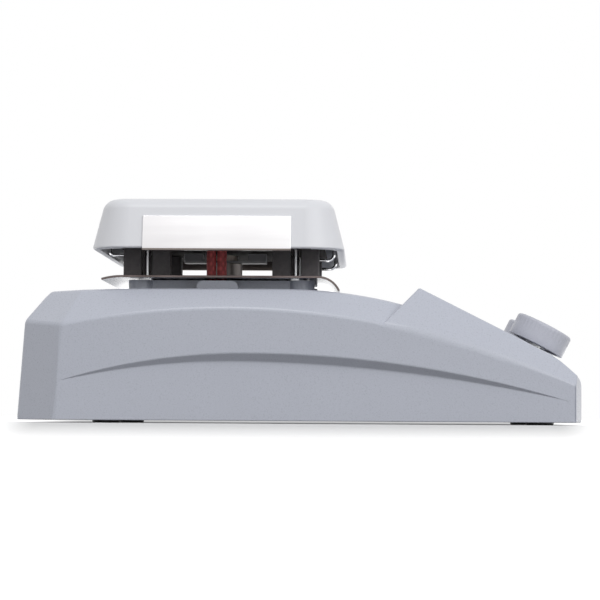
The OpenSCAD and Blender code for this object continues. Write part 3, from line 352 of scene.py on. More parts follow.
def recess_arch(x):
    away = x - arch_x
    return arch_z - sag(arch_rear_r if away < 0.0 else arch_front_r, away)


def section_ring(side_x, top_x, top_z, angle, wall, floor_z, sunk=0.0):
    """One ring round the form: up the left side, across the top and down the right side."""
    a = math.radians(angle)
    side_y, depth = wall - half_w, recess_depth(side_x)
    lip = recess_arch(side_x) + lip_share * wall
    rise = crease(side_x) - sunk - wall * (1.0 / math.cos(a) - math.tan(a))
    if side_x < slope_foot:
        rise = min(rise, top_z - least)
    inset = max(least, (top_z - crease(top_x) + sunk + wall / math.cos(a)) / math.tan(a))
    half = [
        Vector((side_x, side_y + depth, floor_z)), Vector((side_x, side_y + depth, lip - depth)),
        Vector((side_x, side_y, lip)), Vector((side_x, side_y, rise)),
        Vector((top_x, inset - half_w, top_z)), Vector((top_x, 0.0, top_z))]
    return half + [Vector((p.x, -p.y, p.z)) for p in reversed(half[:-1])]


def console_profile(wall):
    """Places along the console's top: control panel, bend, nose and front edge."""
    turn = console_rear + panel_angle
    head = Vector((
        console_x + wall * (math.cos(panel_angle) - math.cos(console_rear)) / math.sin(turn),
        console_z - wall * (math.sin(panel_angle) + math.sin(console_rear)) / math.sin(turn)))
    bend = Vector((console_x + panel_length * math.cos(panel_angle),
                   console_z - panel_length * math.sin(panel_angle)))
    centre = bend - bend_r * heading(panel_angle)
    nose = centre + bend_r * heading(nose_angle)
    edge = Vector((front_x - nose_r, 0.0))
    edge.y = nose.y - (nose_r - (nose.x - edge.x) * math.sin(nose_angle)) / math.cos(nose_angle)
    end = centre + (bend_r - wall) * heading(panel_angle)
    panel_steps, bend_steps, nose_steps = 12, 6, 8
    line = [head.lerp(end, i / panel_steps) for i in range(panel_steps)]
    for middle, radius, first, last, steps in (
        (centre, bend_r - wall, panel_angle, nose_angle, bend_steps),
        (edge, nose_r - wall, nose_angle, math.pi / 2.0, nose_steps),
    ):
        line += [middle + radius * heading(first + (last - first) * i / steps) for i in range(steps + 1)]
    return line


def console_foot(wall, height):
    """Where the console's rear face comes down to a height that changes along the length."""
    head = console_profile(wall)[0]
    x = head.x
    for _ in range(20):
        x = head.x - (head.y - height(x)) / math.tan(console_rear)
    return x


foot_x = console_foot(0.0, crease)


def trim_ends(form, wall, *planes):
    """Cuts a form off at the leaning rear, at its corners and at any further planes."""
    lean = math.tan(rear_lean)
    planes = [((rear_x, 0.0, edge_z), (-1.0, 0.0, lean)), *planes]
    for side in (-1.0, 1.0):
        corner_y = side * (half_w - corner_in)
        planes.append(((rear_x, corner_y, edge_z), (-corner_in, side * rear_corner, corner_in * lean)))
        planes.append(((front_x, corner_y, 0.0), (corner_in, side * front_corner, 0.0)))
        hip = Vector((slope_foot, corner_y, rear_top))
        hip_end = Vector((slope_foot + rear_corner, side * half_w, crease(slope_foot + rear_corner)))
        inward = Vector((corner_in, side * -rear_corner, math.hypot(corner_in, rear_corner)))
        planes.append((hip, side * inward.cross(hip_end - hip)))
    for point, outward in planes:
        cut_off(form, Vector(point) - wall * Vector(outward).normalized(), outward)
    open_mesh(form)
    bpy.ops.mesh.remove_doubles(threshold=1e-5)
    bpy.ops.mesh.dissolve_limited(angle_limit=math.radians(0.4))
    close_mesh()
    return form


# where rings lie along the rear: up the slope from a little outside, and on to the level deck
ring_start, level_x = rear_x - 9.0, rear_x + 26.0
rear_places = [ring_start + (slope_head - ring_start) * i / 8.0 for i in range(9)]
rear_places += [slope_head + (level_x - slope_head) * i / 3.0 for i in range(1, 4)]


def arched_body():
    """The body without its console: arched sides, bevels and a top that falls to the front."""
    sunk_most, sunk_run, top_least, steps = 2.5, 8.0, 0.6, 40
    rings = []
    for x in rear_places + [level_x + (front_x - level_x) * i / steps for i in range(1, steps + 1)]:
        sunk = sunk_most * max(0.0, min(1.0, (x - foot_x) / sunk_run))
        top = max(deck_height(x, 0.0), crease(x) + top_least)
        rings.append(section_ring(x, x, top, side_bevel, 0.0, edge_z, sunk))
    return trim_ends(skin("housing_shell", rings), 0.0)


def console_body():
    """The console with its steeper sides, from a little below the crease up."""
    longer, lower = 30.0, 4.0
    profile = console_profile(0.0)
    profile.insert(0, profile[0] + longer * (profile[0] - profile[1]).normalized())
    rings = []
    for p in profile:
        inset = (p.y - crease(p.x)) / math.tan(math.radians(console_bevel))
        half = [Vector((p.x, -half_w, crease(p.x) - lower)), Vector((p.x, -half_w, crease(p.x))),
                Vector((p.x, inset - half_w, p.y)), Vector((p.x, 0.0, p.y))]
        rings.append(half + [Vector((q.x, -q.y, q.z)) for q in reversed(half[:-1])])
    rear = ((console_x, 0.0, console_z), (-math.sin(console_rear), 0.0, math.cos(console_rear)))
    return trim_ends(skin("console", rings), 0.0, rear)


def hollow_body(wall, floor_z):
    """The space inside, with every face set in by the wall."""
    steps = 26
    profile = console_profile(wall)
    foot = console_foot(wall, lambda x: crease(x) - lip_share * wall)
    step = console_foot(wall, lambda x: deck_height(x, wall))
    rings = []
    for x in rear_places + [level_x + (foot - level_x) * i / steps for i in range(1, steps + 1)]:
        top_x = x + (step - foot) * max(0.0, x / foot) ** 2
        rings.append(section_ring(x, top_x, deck_height(top_x, wall), side_bevel, wall, floor_z))
    head, last = profile[0].x, profile[-1].x
    for p in profile:
        side_x = p.x - (console_x - foot_x) * (last - p.x) / (last - head)
        rings.append(section_ring(side_x, p.x, p.y, console_bevel, wall, floor_z))
    return trim_ends(skin("hollow", rings), wall)


def body_edge(x, away, z):
    """Radius in millimetres that an edge of the arched body is rounded to, by its place."""
    fine_r, lip_r, top_r = 0.5, 0.7, 1.5
    lip_band, lip_reach, lip_end, joined_x = 5.5, 5.0, 133.0, foot_x + 20.0
    low_side = z < crease(x) - 4.0
    if z < edge_z + 0.5:
        return fine_r
    if abs(z - recess_arch(x)) < lip_band and away < lip_reach and low_side and x < lip_end:
        return min(lip_r, 0.2 * recess_depth(x)) if recess_depth(x) > 0.3 else 0.0
    if x > joined_x:
        return fine_r if low_side else 0.0
    return top_r


def console_edge(x, away, z):
    """The same for the console's edges: its sides widen from the foot and narrow to the nose."""
    fine_r, panel_r, side_r, nose_x = 0.5, 0.8, 2.6, 126.0
    if x > nose_x:
        return fine_r
    if z < crease(x) - 2.0:
        return 0.0
    widening, narrowing = 1.6 + 0.06 * (x - foot_x), fine_r + 0.08 * (nose_x - x)
    return panel_r if away > 0.4 else min(widening, side_r, narrowing)


def round_edges(form, radius):
    """Rounds the outer edges of a form, and the lip of the recess, as far as a rule says."""
    most, sharp = 3.0, math.radians(14.0)
    weights = form.data.attributes.new("bevel_weight_edge", "FLOAT", "EDGE")
    fans = {}
    for face in form.data.polygons:
        for key in face.edge_keys:
            fans.setdefault(key, []).append(face)
    for edge in form.data.edges:
        first, second = fans[tuple(sorted(edge.vertices))]
        ends = [form.data.vertices[i].co / MM for i in edge.vertices]
        middle = (ends[0] + ends[1]) / 2.0
        outer = (second.center - first.center).dot(first.normal) < 1e-7
        in_recess = middle.z < recess_arch(middle.x) + 1.0
        if (outer or in_recess) and first.normal.angle(second.normal, 0.0) > sharp:
            weights.data[edge.index].value = radius(middle.x, half_w - abs(middle.y), middle.z) / most
    use(form, "BEVEL", width=most * MM, segments=4, limit_method="WEIGHT", use_clamp_overlap=False)


def peg(radius, low, high, steps=40):
    """A round peg between two points, to be joined on or cut out."""
    low, high = Vector(low) * MM, Vector(high) * MM
    run = high - low
    bpy.ops.object.select_all(action="DESELECT")
    bpy.ops.mesh.primitive_cylinder_add(
        vertices=steps, radius=radius * MM, depth=run.length, location=(low + high) / 2.0,
        rotation=run.to_track_quat("Z", "Y").to_euler())
    bpy.ops.object.transform_apply(location=True, rotation=True, scale=True)
    return bpy.context.object


def block(one, other):
    """A straight block between two opposite corners, to be joined on or cut out."""
    low = Vector([min(pair) for pair in zip(one, other)]) * MM
    high = Vector([max(pair) for pair in zip(one, other)]) * MM
    bpy.ops.object.select_all(action="DESELECT")
    bpy.ops.mesh.primitive_cube_add(size=1.0, location=(low + high) / 2.0)
    made = bpy.context.object
    made.scale = high - low
    bpy.ops.object.transform_apply(location=True, rotation=True, scale=True)
    return made


def clean_cuts(piece, rule, sides):
    """Merges points that cuts have left close together, and splits faces by their number of sides."""
    open_mesh(piece)
    bpy.ops.mesh.remove_doubles(threshold=2e-6)
    bpy.ops.mesh.select_all(action="DESELECT")
    bpy.ops.mesh.select_face_by_sides(number=sides, type=rule)
    bpy.ops.mesh.quads_convert_to_tris(quad_method="BEAUTY", ngon_method="BEAUTY")
    close_mesh()


def panel_place(down, y, out):
    """A place on the control panel: down the slope, across it and out of it."""
    return Vector((console_x + down * math.cos(panel_angle) + out * math.sin(panel_angle), y,
                   console_z - down * math.sin(panel_angle) + out * math.cos(panel_angle)))


housing, console = arched_body(), console_body()
round_edges(housing, body_edge)
round_edges(console, console_edge)
combine(housing, console, "UNION")

inlet_y, inlet_z = 50.0, 26.0


def inlet_block(half_y, half_z, inner_x):
    """A block round the inlet's middle, from outside the rear wall to a depth."""
    return block((rear_x - 9.0, inlet_y - half_y, inlet_z - half_z),
                 (inner_x, inlet_y + half_y, inlet_z + half_z))


# the hollow inside, with the screw bosses and the inlet's pad left standing in it
corners = [(x, y) for x in (-1.0, 1.0) for y in (-1.0, 1.0)]
screw_places = [(x, y * 56.0) for x in (-97.0, 121.0) for y in (-1.0, 1.0)]
bracket_places = [(plate_x + 27.0 * x, 27.0 * y) for x, y in corners]
board_places = [(down, y) for down in (12.5, 52.5) for y in (-45.0, 45.0)]
shell_wall, under_all, base_top, under_deck, over_all = 3.0, -10.0, 2.8, 60.0, 80.0
boss_r, board_boss_r, board_boss_foot, board_boss_head = 4.0, 3.0, -14.0, 4.0
hollow_form = hollow_body(shell_wall, under_all)
for x, y in screw_places:
    combine(hollow_form, peg(boss_r, (x, y, base_top), (x, y, over_all)), "DIFFERENCE")
for x, y in bracket_places:
    combine(hollow_form, peg(boss_r, (x, y, under_deck), (x, y, over_all)), "DIFFERENCE")
for down, y in board_places:
    boss = peg(board_boss_r, panel_place(down, y, board_boss_foot), panel_place(down, y, board_boss_head))
    combine(hollow_form, boss, "DIFFERENCE")
combine(hollow_form, inlet_block(20.0, 16.0, -132.3), "DIFFERENCE")
combine(housing, hollow_form, "DIFFERENCE")

# the raised collar with its corner posts, its floor and the swelling that stands out of each side
collar_x, collar_y, collar_wall, collar_foot, collar_top = 44.0, 42.5, 5.0, 65.5, 73.5
collar = block((plate_x - collar_x, -collar_y, collar_foot), (plate_x + collar_x, collar_y, collar_top))
inner_x, inner_y = collar_x - collar_wall, collar_y - collar_wall
well = block((plate_x - inner_x, -inner_y, deck_z), (plate_x + inner_x, inner_y, over_all))
combine(collar, well, "DIFFERENCE")
post_x, post_y, post_r, cut = 41.5, 40.0, 6.5, 9.0
for x, y in corners:
    post = (plate_x + x * post_x, y * post_y)
    corner = block((*post, under_deck), (post[0] + cut * x, post[1] + cut * y, over_all))
    combine(collar, corner, "DIFFERENCE")
    combine(collar, peg(post_r, (*post, collar_foot), (*post, collar_top), 48), "UNION")
swell_back, swell_front, swell_in, swell_out, swell_top, swell_r = 11.7, 9.3, 40.0, 59.5, 72.5, 3.0
for y in (-1.0, 1.0):
    swelling = block((plate_x - swell_back, y * swell_in, collar_foot),
                     (plate_x + swell_front, y * swell_out, swell_top))
    weights = swelling.data.attributes.new("bevel_weight_edge", "FLOAT", "EDGE")
    for edge in swelling.data.edges:
        ends = [swelling.data.vertices[i].co for i in edge.vertices]
        upper = min(e.z for e in ends) > deck_z * MM and abs(ends[0].y - ends[1].y) > MM
        weights.data[edge.index].value = 1.0 if upper else 0.0
    use(swelling, "BEVEL", width=swell_r * MM, segments=6, limit_method="WEIGHT")
    combine(collar, swelling, "UNION")
collar_edge_r, collar_sharp = 0.35, math.radians(40.0)
use(collar, "BEVEL", width=collar_edge_r * MM, segments=2, limit_method="ANGLE", angle_limit=collar_sharp)
combine(housing, collar, "UNION")

# holes for what the housing carries: screws, motor tower, probe, sleeves, studs, controls and lights
screw_r, tower_r, probe_r, sleeve_r, stud_r, through_z = 1.5, 8.9, 1.7, 2.55, 1.52, 70.0
board_screw_r, bush_r, light_r, panel_under, panel_over = 1.2, 4.7, 2.2, -6.0, 3.0
knob_down, knob_y, light_down = 66.2, 41.0, 42.0
sleeve_places = [(plate_x - 3.2 + s * 2.75, -30.0) for s in (-1.0, 1.0)]
stud_places = [(plate_x + 38.3 * x, 40.0 * y) for x, y in corners]
for radius, low, high, places in (
    (screw_r, 1.0, 12.0, screw_places),
    (screw_r, 59.0, 65.5, bracket_places),
    (tower_r, under_deck, through_z, [(plate_x, 0.0)]),
    (probe_r, under_deck, through_z, [(plate_x, 30.0)]),
    (sleeve_r, under_deck, through_z, sleeve_places),
    (stud_r, 68.5, over_all, stud_places),
):
    for x, y in places:
        combine(housing, peg(radius, (x, y, low), (x, y, high)), "DIFFERENCE")
panel_holes = [(board_screw_r, down, y, -15.0, -8.5) for down, y in board_places]
for y in (-knob_y, knob_y):
    panel_holes.append((bush_r, knob_down, y, panel_under, panel_over))
    panel_holes.append((light_r, light_down, y, panel_under, panel_over))
for radius, down, y, low, high in panel_holes:
    combine(housing, peg(radius, panel_place(down, y, low), panel_place(down, y, high)), "DIFFERENCE")
on_panel = Matrix.Translation(panel_place(0.0, 0.0, 0.0) * MM) @ Matrix.Rotation(panel_angle, 4, "Y")
window_head, window_foot, window_y, window_r = 11.8, 32.2, 40.2, 2.2
window = block((window_head, -window_y, panel_under), (window_foot, window_y, panel_over))
window.data.transform(on_panel)
use(window, "BEVEL", width=window_r * MM, segments=4, limit_method="ANGLE", angle_limit=math.radians(80.0))
combine(housing, window, "DIFFERENCE")

# a shut line down each front corner, and the inlet's pocket with the hole behind it
line_rear, line_front, line_in, line_top = 136.2, 136.75, 98.0, 30.0
for y in (-1.0, 1.0):
    shut_line = block((line_rear, y * line_in, -1.0), (line_front, y * (line_in + 1.0), line_top))
    combine(housing, shut_line, "DIFFERENCE")
combine(housing, inlet_block(17.2, 13.2, -135.3), "DIFFERENCE")
combine(housing, inlet_block(14.0, 10.0, -125.0), "DIFFERENCE")

# the faces that the shut lines cut are split, so that no thin triangles lie on each other
for line_face_sides in (17, 18):
    clean_cuts(housing, "EQUAL", line_face_sides)
smooth(housing)
grey = textured_plastic("housing_grey", (0.453, 0.474, 0.542), 1500.0, 0.2)

# painted shade: the collar under the heat shield and plate is coloured a little darker, for the shade that
# falls on it there
darkened, over_deck, shade_reach = 0.78, 0.3, 60.0
grey_colour = grey.node_tree.nodes["Principled BSDF"].inputs["Base Color"]
moulded = Wire(grey.node_tree, grey_colour.links[0].from_socket)
spot = Wire(grey.node_tree, grey.node_tree.nodes["Texture Coordinate"].outputs["Object"])
raised = spot.math("GREATER_THAN", spot.along("Z"), (deck_z + over_deck) * MM)
behind = spot.math("LESS_THAN", spot.along("X"), (plate_x + shade_reach) * MM)
painted_shade = spot.node("ShaderNodeVectorMath", {0: moulded, "Scale": darkened}, operation="SCALE")
grey.node_tree.links.new((raised * behind).mix(moulded, painted_shade).socket, grey_colour)


def dress(piece, material, slot, body, *nodes):
    """Gives a piece its finish, hides the source's nodes that it takes the place of, and hangs it from the
    body that carries it.
    """
    piece.data.materials.clear()
    piece.data.materials.append(material)
    for face in piece.data.polygons:
        face.material_index = 0
    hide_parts(*nodes)
    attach(piece, body)


dress(housing, grey, "housing_grey", "base", "housing")


# Base plate, screws and feet
# A zinc-coated steel sheet closes the housing from below. Four countersunk screws hold it
# in the housing's bosses, and four low rubber feet are stuck beside them.
def stretch(place, x, y, z):
    return place.node("ShaderNodeMapping", {"Vector": place, "Scale": (x, y, z)}, output="Vector")


def rolled_metal(name, colour, roughness, lines, relief=0.05, spread=0.12):
    """Bare metal with fine lines from rolling or brushing and a faint uneven sheen."""
    material, shader, place = start_finish(name, Metallic=1.0)
    fine = noise(stretch(place, *lines), 1.0, 3.0, 0.65)
    sheen = noise(place, 35.0, 2.0)
    dark = tuple(c * 0.9 for c in colour)
    pale = tuple(min(1.0, c * 1.05) for c in colour)
    feed(shader, Base_Color=((fine - 0.5) * 0.9 + (sheen - 0.5) * 0.6 + 0.5).mix(dark, pale),
         Roughness=roughness - spread / 2.0 + spread * fine, Normal=bump(fine, relief, 0.0001))
    return material


def plated_metal(name, colour, roughness):
    """Small metal parts with a bright plating that is slightly clouded."""
    return rolled_metal(name, colour, roughness, (900.0, 900.0, 900.0), 0.04, 0.16)


def finish(material, *nodes):
    """Gives the source's own nodes a finish where their shape is right as it is."""
    for node in nodes:
        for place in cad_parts[node].material_slots:
            place.material = material


sheet = rolled_metal("zinc_sheet", (0.52, 0.53, 0.55), 0.42, (30.0, 1400.0, 900.0))
zinc = plated_metal("bright_zinc", (0.66, 0.67, 0.68), 0.3)
finish(sheet, "base_plate")
finish(zinc, "base_screws", "supply_screws", "board_screws", "motor_screws")
finish(textured_plastic("foot_rubber", (0.012, 0.012, 0.013), 900.0, 0.3), "rubber_feet")


# Mains inlet
# A black moulded socket sits in a pocket of the rear wall, with three plated blades
# standing in its recess. It is snapped in from outside.
def soften(node, name, width, segments=2, angle=30.0):
    """A copy of a node's mesh with its triangles merged and its edges rounded."""
    piece = bpy.data.objects.new(name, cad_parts[node].data.copy())
    bpy.context.scene.collection.objects.link(piece)
    pick(piece)
    bpy.ops.mesh.customdata_custom_splitnormals_clear()
    open_mesh(piece)
    bpy.ops.mesh.remove_doubles(threshold=1e-6)
    bpy.ops.mesh.dissolve_limited(angle_limit=math.radians(1.0))
    close_mesh()
    use(piece, "BEVEL", width=width * MM, segments=segments, limit_method="ANGLE",
        angle_limit=math.radians(angle), use_clamp_overlap=False)
    smooth(piece)
    return piece


black = textured_plastic("black_plastic", (0.022, 0.022, 0.024), 1300.0, 0.18)
dress(soften("power_inlet", "inlet_socket", 0.4, 3), black, "black_plastic", "base", "power_inlet")
finish(zinc, "inlet_pins")


# Power supply
# A green board stands on brass posts behind the console and carries a laminated
# transformer with its windings and a finned heat sink.
def board_green(name):
    material, shader, place = start_finish(name, Specular_IOR_Level=0.5, Coat_Weight=0.3)
    cells = place.node("ShaderNodeTexVoronoi", {"Vector": place, "Scale": 260.0}, output="Distance",
                       distance="MANHATTAN")
    tracks = place.math("GREATER_THAN", cells, 0.62)
    fine = noise(place, 1200.0)
    feed(shader, Base_Color=tracks.mix((0.012, 0.085, 0.035), (0.03, 0.16, 0.07)),
         Roughness=0.32 + 0.12 * fine, Normal=bump(tracks + 0.2 * fine, 0.2, 0.00005))
    return material


brass = plated_metal("turned_brass", (0.72, 0.52, 0.22), 0.3)
board = board_green("board_green")
finish(board, "power_board", "control_board")
finish(brass, "board_posts", "motor_bushes")
core, core_shader, core_place = start_finish("core_iron", Metallic=0.8)
layers = core_place.node("ShaderNodeTexWave", {"Vector": core_place, "Scale": 320.0}, bands_direction="Z")
feed(core_shader, Base_Color=layers.mix((0.05, 0.05, 0.055), (0.17, 0.165, 0.16)),
     Roughness=0.45 + 0.2 * layers, Normal=bump(layers, 0.2, 0.0002))
finish(core, "transformer", "motor_stator", "motor_armature")
finish(rolled_metal("extruded_aluminium", (0.6, 0.61, 0.63), 0.38, (1200.0, 1200.0, 40.0)), "heat_sink")


# Console controls
# Board, display and two rotary controls hang under the panel. A film with dial marks lies
# on the panel, with a smoked window and two amber lights set into it.
finish(black, "display_module", "heat_control", "stir_control")
film = textured_plastic("overlay_film", (0.5, 0.515, 0.57), 2400.0, 0.1)
dress(soften("control_overlay", "panel_film", 0.12, 2), film, "overlay_film", "base", "control_overlay")
smoke, smoke_shader, smoke_place = start_finish("smoked_window", Specular_IOR_Level=0.45, Coat_Weight=0.3)
haze = noise(smoke_place, 60.0, 2.0)
feed(smoke_shader, Base_Color=haze.mix((0.012, 0.006, 0.007), (0.022, 0.01, 0.011)),
     Roughness=0.06 + 0.06 * haze, Normal=bump(noise(smoke_place, 900.0), 0.02, 0.00003))
dress(soften("display_window", "display_glass", 0.3, 3), smoke, "display_lens", "base", "display_window")
amber, amber_shader, amber_place = start_finish("amber_lens", Coat_Weight=0.6)
ripple = noise(amber_place, 700.0, 2.0)
feed(amber_shader, Base_Color=ripple.mix((0.62, 0.23, 0.03), (0.78, 0.36, 0.06)),
     Roughness=0.14 + 0.1 * ripple, Normal=bump(ripple, 0.1, 0.0001))
lenses = soften("indicator_lights", "light_lenses", 0.15, 2, 20.0)
dress(lenses, amber, "amber_lens", "base", "indicator_lights")
dress(soften("control_nuts", "bush_nuts", 0.25, 2, 40.0), zinc, "zinc", "base", "control_nuts")

white = textured_plastic("mark_white", (0.8, 0.8, 0.8), 1500.0, 0.05)
mark_turn, mark_ring, mark_low, mark_top, mark_edge = math.radians(29.0), 17.6, 0.36, 0.46, 0.03
long_mark, short_mark = (3.4, 0.9), (2.6, 0.7)
marks = None
for y in (-knob_y, knob_y):
    for step in range(-3, 4):
        turn = mark_turn * step
        length, width = short_mark if step % 3 else long_mark
        bar = block((-length / 2.0, -width / 2.0, mark_low), (length / 2.0, width / 2.0, mark_top))
        use(bar, "BEVEL", width=mark_edge * MM, segments=2, limit_method="ANGLE")
        out = mark_ring + length / 2.0
        place = panel_place(knob_down - out * math.cos(turn), y + out * math.sin(turn), 0.0)
        bar.data.transform(Matrix.Translation(place * MM) @ Matrix.Rotation(panel_angle, 4, "Y")
                           @ Matrix.Rotation(-turn, 4, "Z"))
        if marks is None:
            marks = bar
        else:
            combine(marks, bar, "UNION")
marks.name = "dial_marks"
dress(marks, white, "pointer_white", "base")


# Knobs
# Each grey knob is moulded with a thin skirt, a hub on the control's shaft, a rounded
# upper edge with fine grip grooves, and a white line let into its slightly crowned top.
knob_r, knob_h, knob_gap = 15.0, 12.0, 3.6
shaft_r, hub_r, hollow_r, hollow_h = 3.02, 5.5, 12.5, 9.5
edge_r, crown = 1.6, 0.7
grip_low, grip_run = 5.4, 1.1
groove_count, groove_depth, groove_shape = 40, 0.2, (1.0, 0.55, 0.0, 0.0, 0.0, 0.55)
slot_in, slot_out, slot_half, slot_deep = 9.62, 1.58, 0.72, 1.32


def knob_rings(place):
    """Rings of a knob from the shaft's hole out over the skirt and up to the middle of the top."""
    profile = [(shaft_r, hollow_h), (shaft_r, 0.0), (hub_r, 0.0), (hub_r, hollow_h),
               (hollow_r, hollow_h), (hollow_r, 0.0),
               (knob_r - 0.35, 0.0), (knob_r - 0.1, 0.1), (knob_r, 0.35)]
    profile += [(knob_r, z) for z in (3.0, grip_low, 5.9, 6.5, 8.0, 9.0)]
    profile += [(knob_r - edge_r + edge_r * math.sin(a), knob_h - crown - edge_r + edge_r * math.cos(a))
                for a in (math.radians(90.0 - 82.0 * i / 8.0) for i in range(9))]
    flat = knob_r - edge_r
    profile += [(flat * f, knob_h - crown * f * f) for f in (0.92, 0.8, 0.6, 0.4, 0.2, 0.05)]
    rings = []
    for r, z in profile:
        grip = min(1.0, max(0.0, (z - grip_low) / grip_run)) if r > flat else 0.0
        ring = []
        around = groove_count * len(groove_shape)
        for i in range(around):
            a = 2.0 * math.pi * i / around
            depth = groove_depth * grip * groove_shape[(i + 3) % len(groove_shape)]
            x, y = (r - depth) * math.cos(a), (r - depth) * math.sin(a)
            ring.append(panel_place(knob_down + x, place + y, knob_gap + z))
        rings.append(ring)
    return rings


off_mark = math.radians(-35.0)
knob_grey = textured_plastic("knob_grey", (0.44, 0.45, 0.51), 1900.0, 0.2)
for name, side in (("heat", -1.0), ("stir", 1.0)):
    knob = skin(name + "_dial_knob", knob_rings(side * knob_y))
    slot = block((knob_r - slot_in, -slot_half, knob_h - slot_deep),
                 (knob_r - slot_out, slot_half, knob_h + 3.0))
    slot.data.transform(Matrix.Translation(panel_place(knob_down, side * knob_y, knob_gap) * MM)
                        @ Matrix.Rotation(panel_angle, 4, "Y") @ Matrix.Rotation(off_mark, 4, "Z"))
    combine(knob, slot, "DIFFERENCE")
    clean_cuts(knob, "GREATER", 4)
    shade(knob)
    dress(knob, knob_grey, "knob_grey", name + "_dial", name + "_knob")
finish(white, "heat_pointer", "stir_pointer")


# Motor
# The motor hangs under the deck from a steel bracket on rubber grommets. Its machined
# bearing tower passes up through the deck and the heat shield.
motor_steel = rolled_metal("motor_steel", (0.5, 0.51, 0.53), 0.36, (200.0, 200.0, 1600.0))
finish(sheet, "motor_bracket")
finish(textured_plastic("grommet_rubber", (0.02, 0.02, 0.021), 900.0, 0.3), "motor_grommets")
finish(motor_steel, "motor_can", "motor_cap")
finish(rolled_metal("tower_steel", (0.26, 0.235, 0.225), 0.45, (200.0, 200.0, 1600.0)), "motor_tower")


# Rotor
# The shaft carries a flat steel bar with a magnet on each end and a dull bronze hub nut over
# its middle. It runs close under the heater tray.
finish(motor_steel, "drive_shaft")
finish(rolled_metal("carrier_steel", (0.2, 0.2, 0.205), 0.4, (300.0, 1500.0, 900.0)), "magnet_carrier")
finish(rolled_metal("magnet_plating", (0.16, 0.16, 0.17), 0.45, (700.0, 700.0, 700.0)), "drive_magnets")
hub, hub_shader, hub_place = start_finish("dull_bronze", Metallic=0.1)
turned = noise(stretch(hub_place, 300.0, 300.0, 2200.0), 1.0, 3.0, 0.6)
feed(hub_shader, Base_Color=turned.mix((0.74, 0.63, 0.55), (0.9, 0.8, 0.72)),
     Roughness=0.42 + 0.16 * turned, Normal=bump(turned, 0.1, 0.0001))
finish(hub, "rotor_hub")


# Plate support
# Four studs stand in the collar's posts. A polished heat shield with curved ends lies on
# washers, and beside each stud two dark insulating blocks carry the heater's tray.
stainless = rolled_metal("polished_stainless", (0.8, 0.8, 0.81), 0.14, (60.0, 60.0, 60.0), 0.02, 0.1)
shield_steel, shield_shader, shield_place = start_finish("shield_steel", Metallic=1.0)
shield_side = 0.05785
# painted reflection: the shield's edges that face front and back are coloured dark red-brown, for the dark
# surroundings they mirror, and are made rougher
across = shield_place.along("Y")
edge_reflection = across.math("GREATER_THAN", across.math("ABSOLUTE", across), shield_side)
smear = noise(shield_place, 90.0, 3.0)
feed(shield_shader, Base_Color=edge_reflection.mix(smear.mix((0.74, 0.74, 0.75), (0.86, 0.86, 0.87)),
                                            smear.mix((0.08, 0.062, 0.06), (0.3, 0.25, 0.24))),
     Roughness=0.1 + 0.1 * smear + 0.3 * edge_reflection, Normal=bump(smear, 0.03, 0.0003))
dress(soften("heat_shield", "shield_plate", 0.15, 2), shield_steel, "stainless", "base", "heat_shield")
finish(zinc, "shield_washers", "stud_nuts", "support_studs")
blocks, blocks_shader, blocks_place = start_finish("block_ceramic", Specular_IOR_Level=0.3)
mottle = noise(blocks_place, 420.0, 4.0, 0.65)
feed(blocks_shader, Base_Color=mottle.mix((0.075, 0.07, 0.075), (0.16, 0.148, 0.15)),
     Roughness=0.6 + 0.25 * mottle, Normal=bump(mottle, 0.3, 0.0003))
standoffs = soften("standoff_blocks", "insulating_blocks", 0.45, 2)
dress(standoffs, blocks, "dark_ceramic", "base", "standoff_blocks")


# Heater and clips
# A tray of heat-darkened steel on the blocks holds a wool pad with the heating element, a probe
# for the temperature, and bent wire clips that hold the top plate down.
tray, tray_shader, tray_place = start_finish("scorched_tray", Specular_IOR_Level=0.15)
scale = noise(tray_place, 160.0, 4.0, 0.6)
feed(tray_shader, Base_Color=scale.mix((0.02, 0.018, 0.017), (0.06, 0.052, 0.048)),
     Roughness=0.8 + 0.15 * scale, Normal=bump(scale, 0.2, 0.0002))
finish(tray, "heater_tray")
wool, wool_shader, wool_place = start_finish("mineral_wool", Specular_IOR_Level=0.1)
fibres = noise(stretch(wool_place, 300.0, 900.0, 1500.0), 1.0, 4.0, 0.7)
feed(wool_shader, Base_Color=fibres.mix((0.62, 0.6, 0.54), (0.82, 0.81, 0.77)),
     Roughness=0.85 + 0.1 * fibres, Normal=bump(fibres, 0.5, 0.0006))
finish(wool, "insulation_pad")
finish(rolled_metal("heater_foil", (0.55, 0.5, 0.44), 0.35, (800.0, 40.0, 800.0)), "heating_element")
finish(stainless, "temperature_probe", "retaining_clips")


# Heater leads
# Two leads in red-brown braided sleeves run up from a ceramic terminal under the deck,
# through the deck and the shield, into the heater's tray.
def strands(place, hand):
    """Strands of a braid that lean to one hand."""
    leaning = stretch(place, hand, hand, 0.7)
    return place.node("ShaderNodeTexWave", {"Vector": leaning, "Scale": 190.0}, bands_direction="DIAGONAL")


sleeve, sleeve_shader, sleeve_place = start_finish("braided_sleeve", Specular_IOR_Level=0.35)
braid = strands(sleeve_place, 1.0) * strands(sleeve_place, -1.0)
feed(sleeve_shader, Base_Color=braid.mix((0.54, 0.1, 0.105), (0.84, 0.185, 0.185)),
     Roughness=0.5 + 0.2 * braid, Normal=bump(braid, 0.4, 0.0003))
finish(sleeve, "lead_sleeves")
finish(plated_metal("lead_copper", (0.7, 0.45, 0.33), 0.35), "heater_leads")


# Top plate
# One pressed piece of glazed white ceramic, open below: drafted sides with round corners,
# a broad round upper edge and a small chamfer at the rim.
plate_lean, lean_share = math.radians(14.5), 0.2586
round_x, round_y, round_r, rim_z = 43.5, 69.0, 20.0, 87.0
plate_tall, plate_wall, plate_edge_r, rim = 25.5, 4.0, 7.0, 1.2


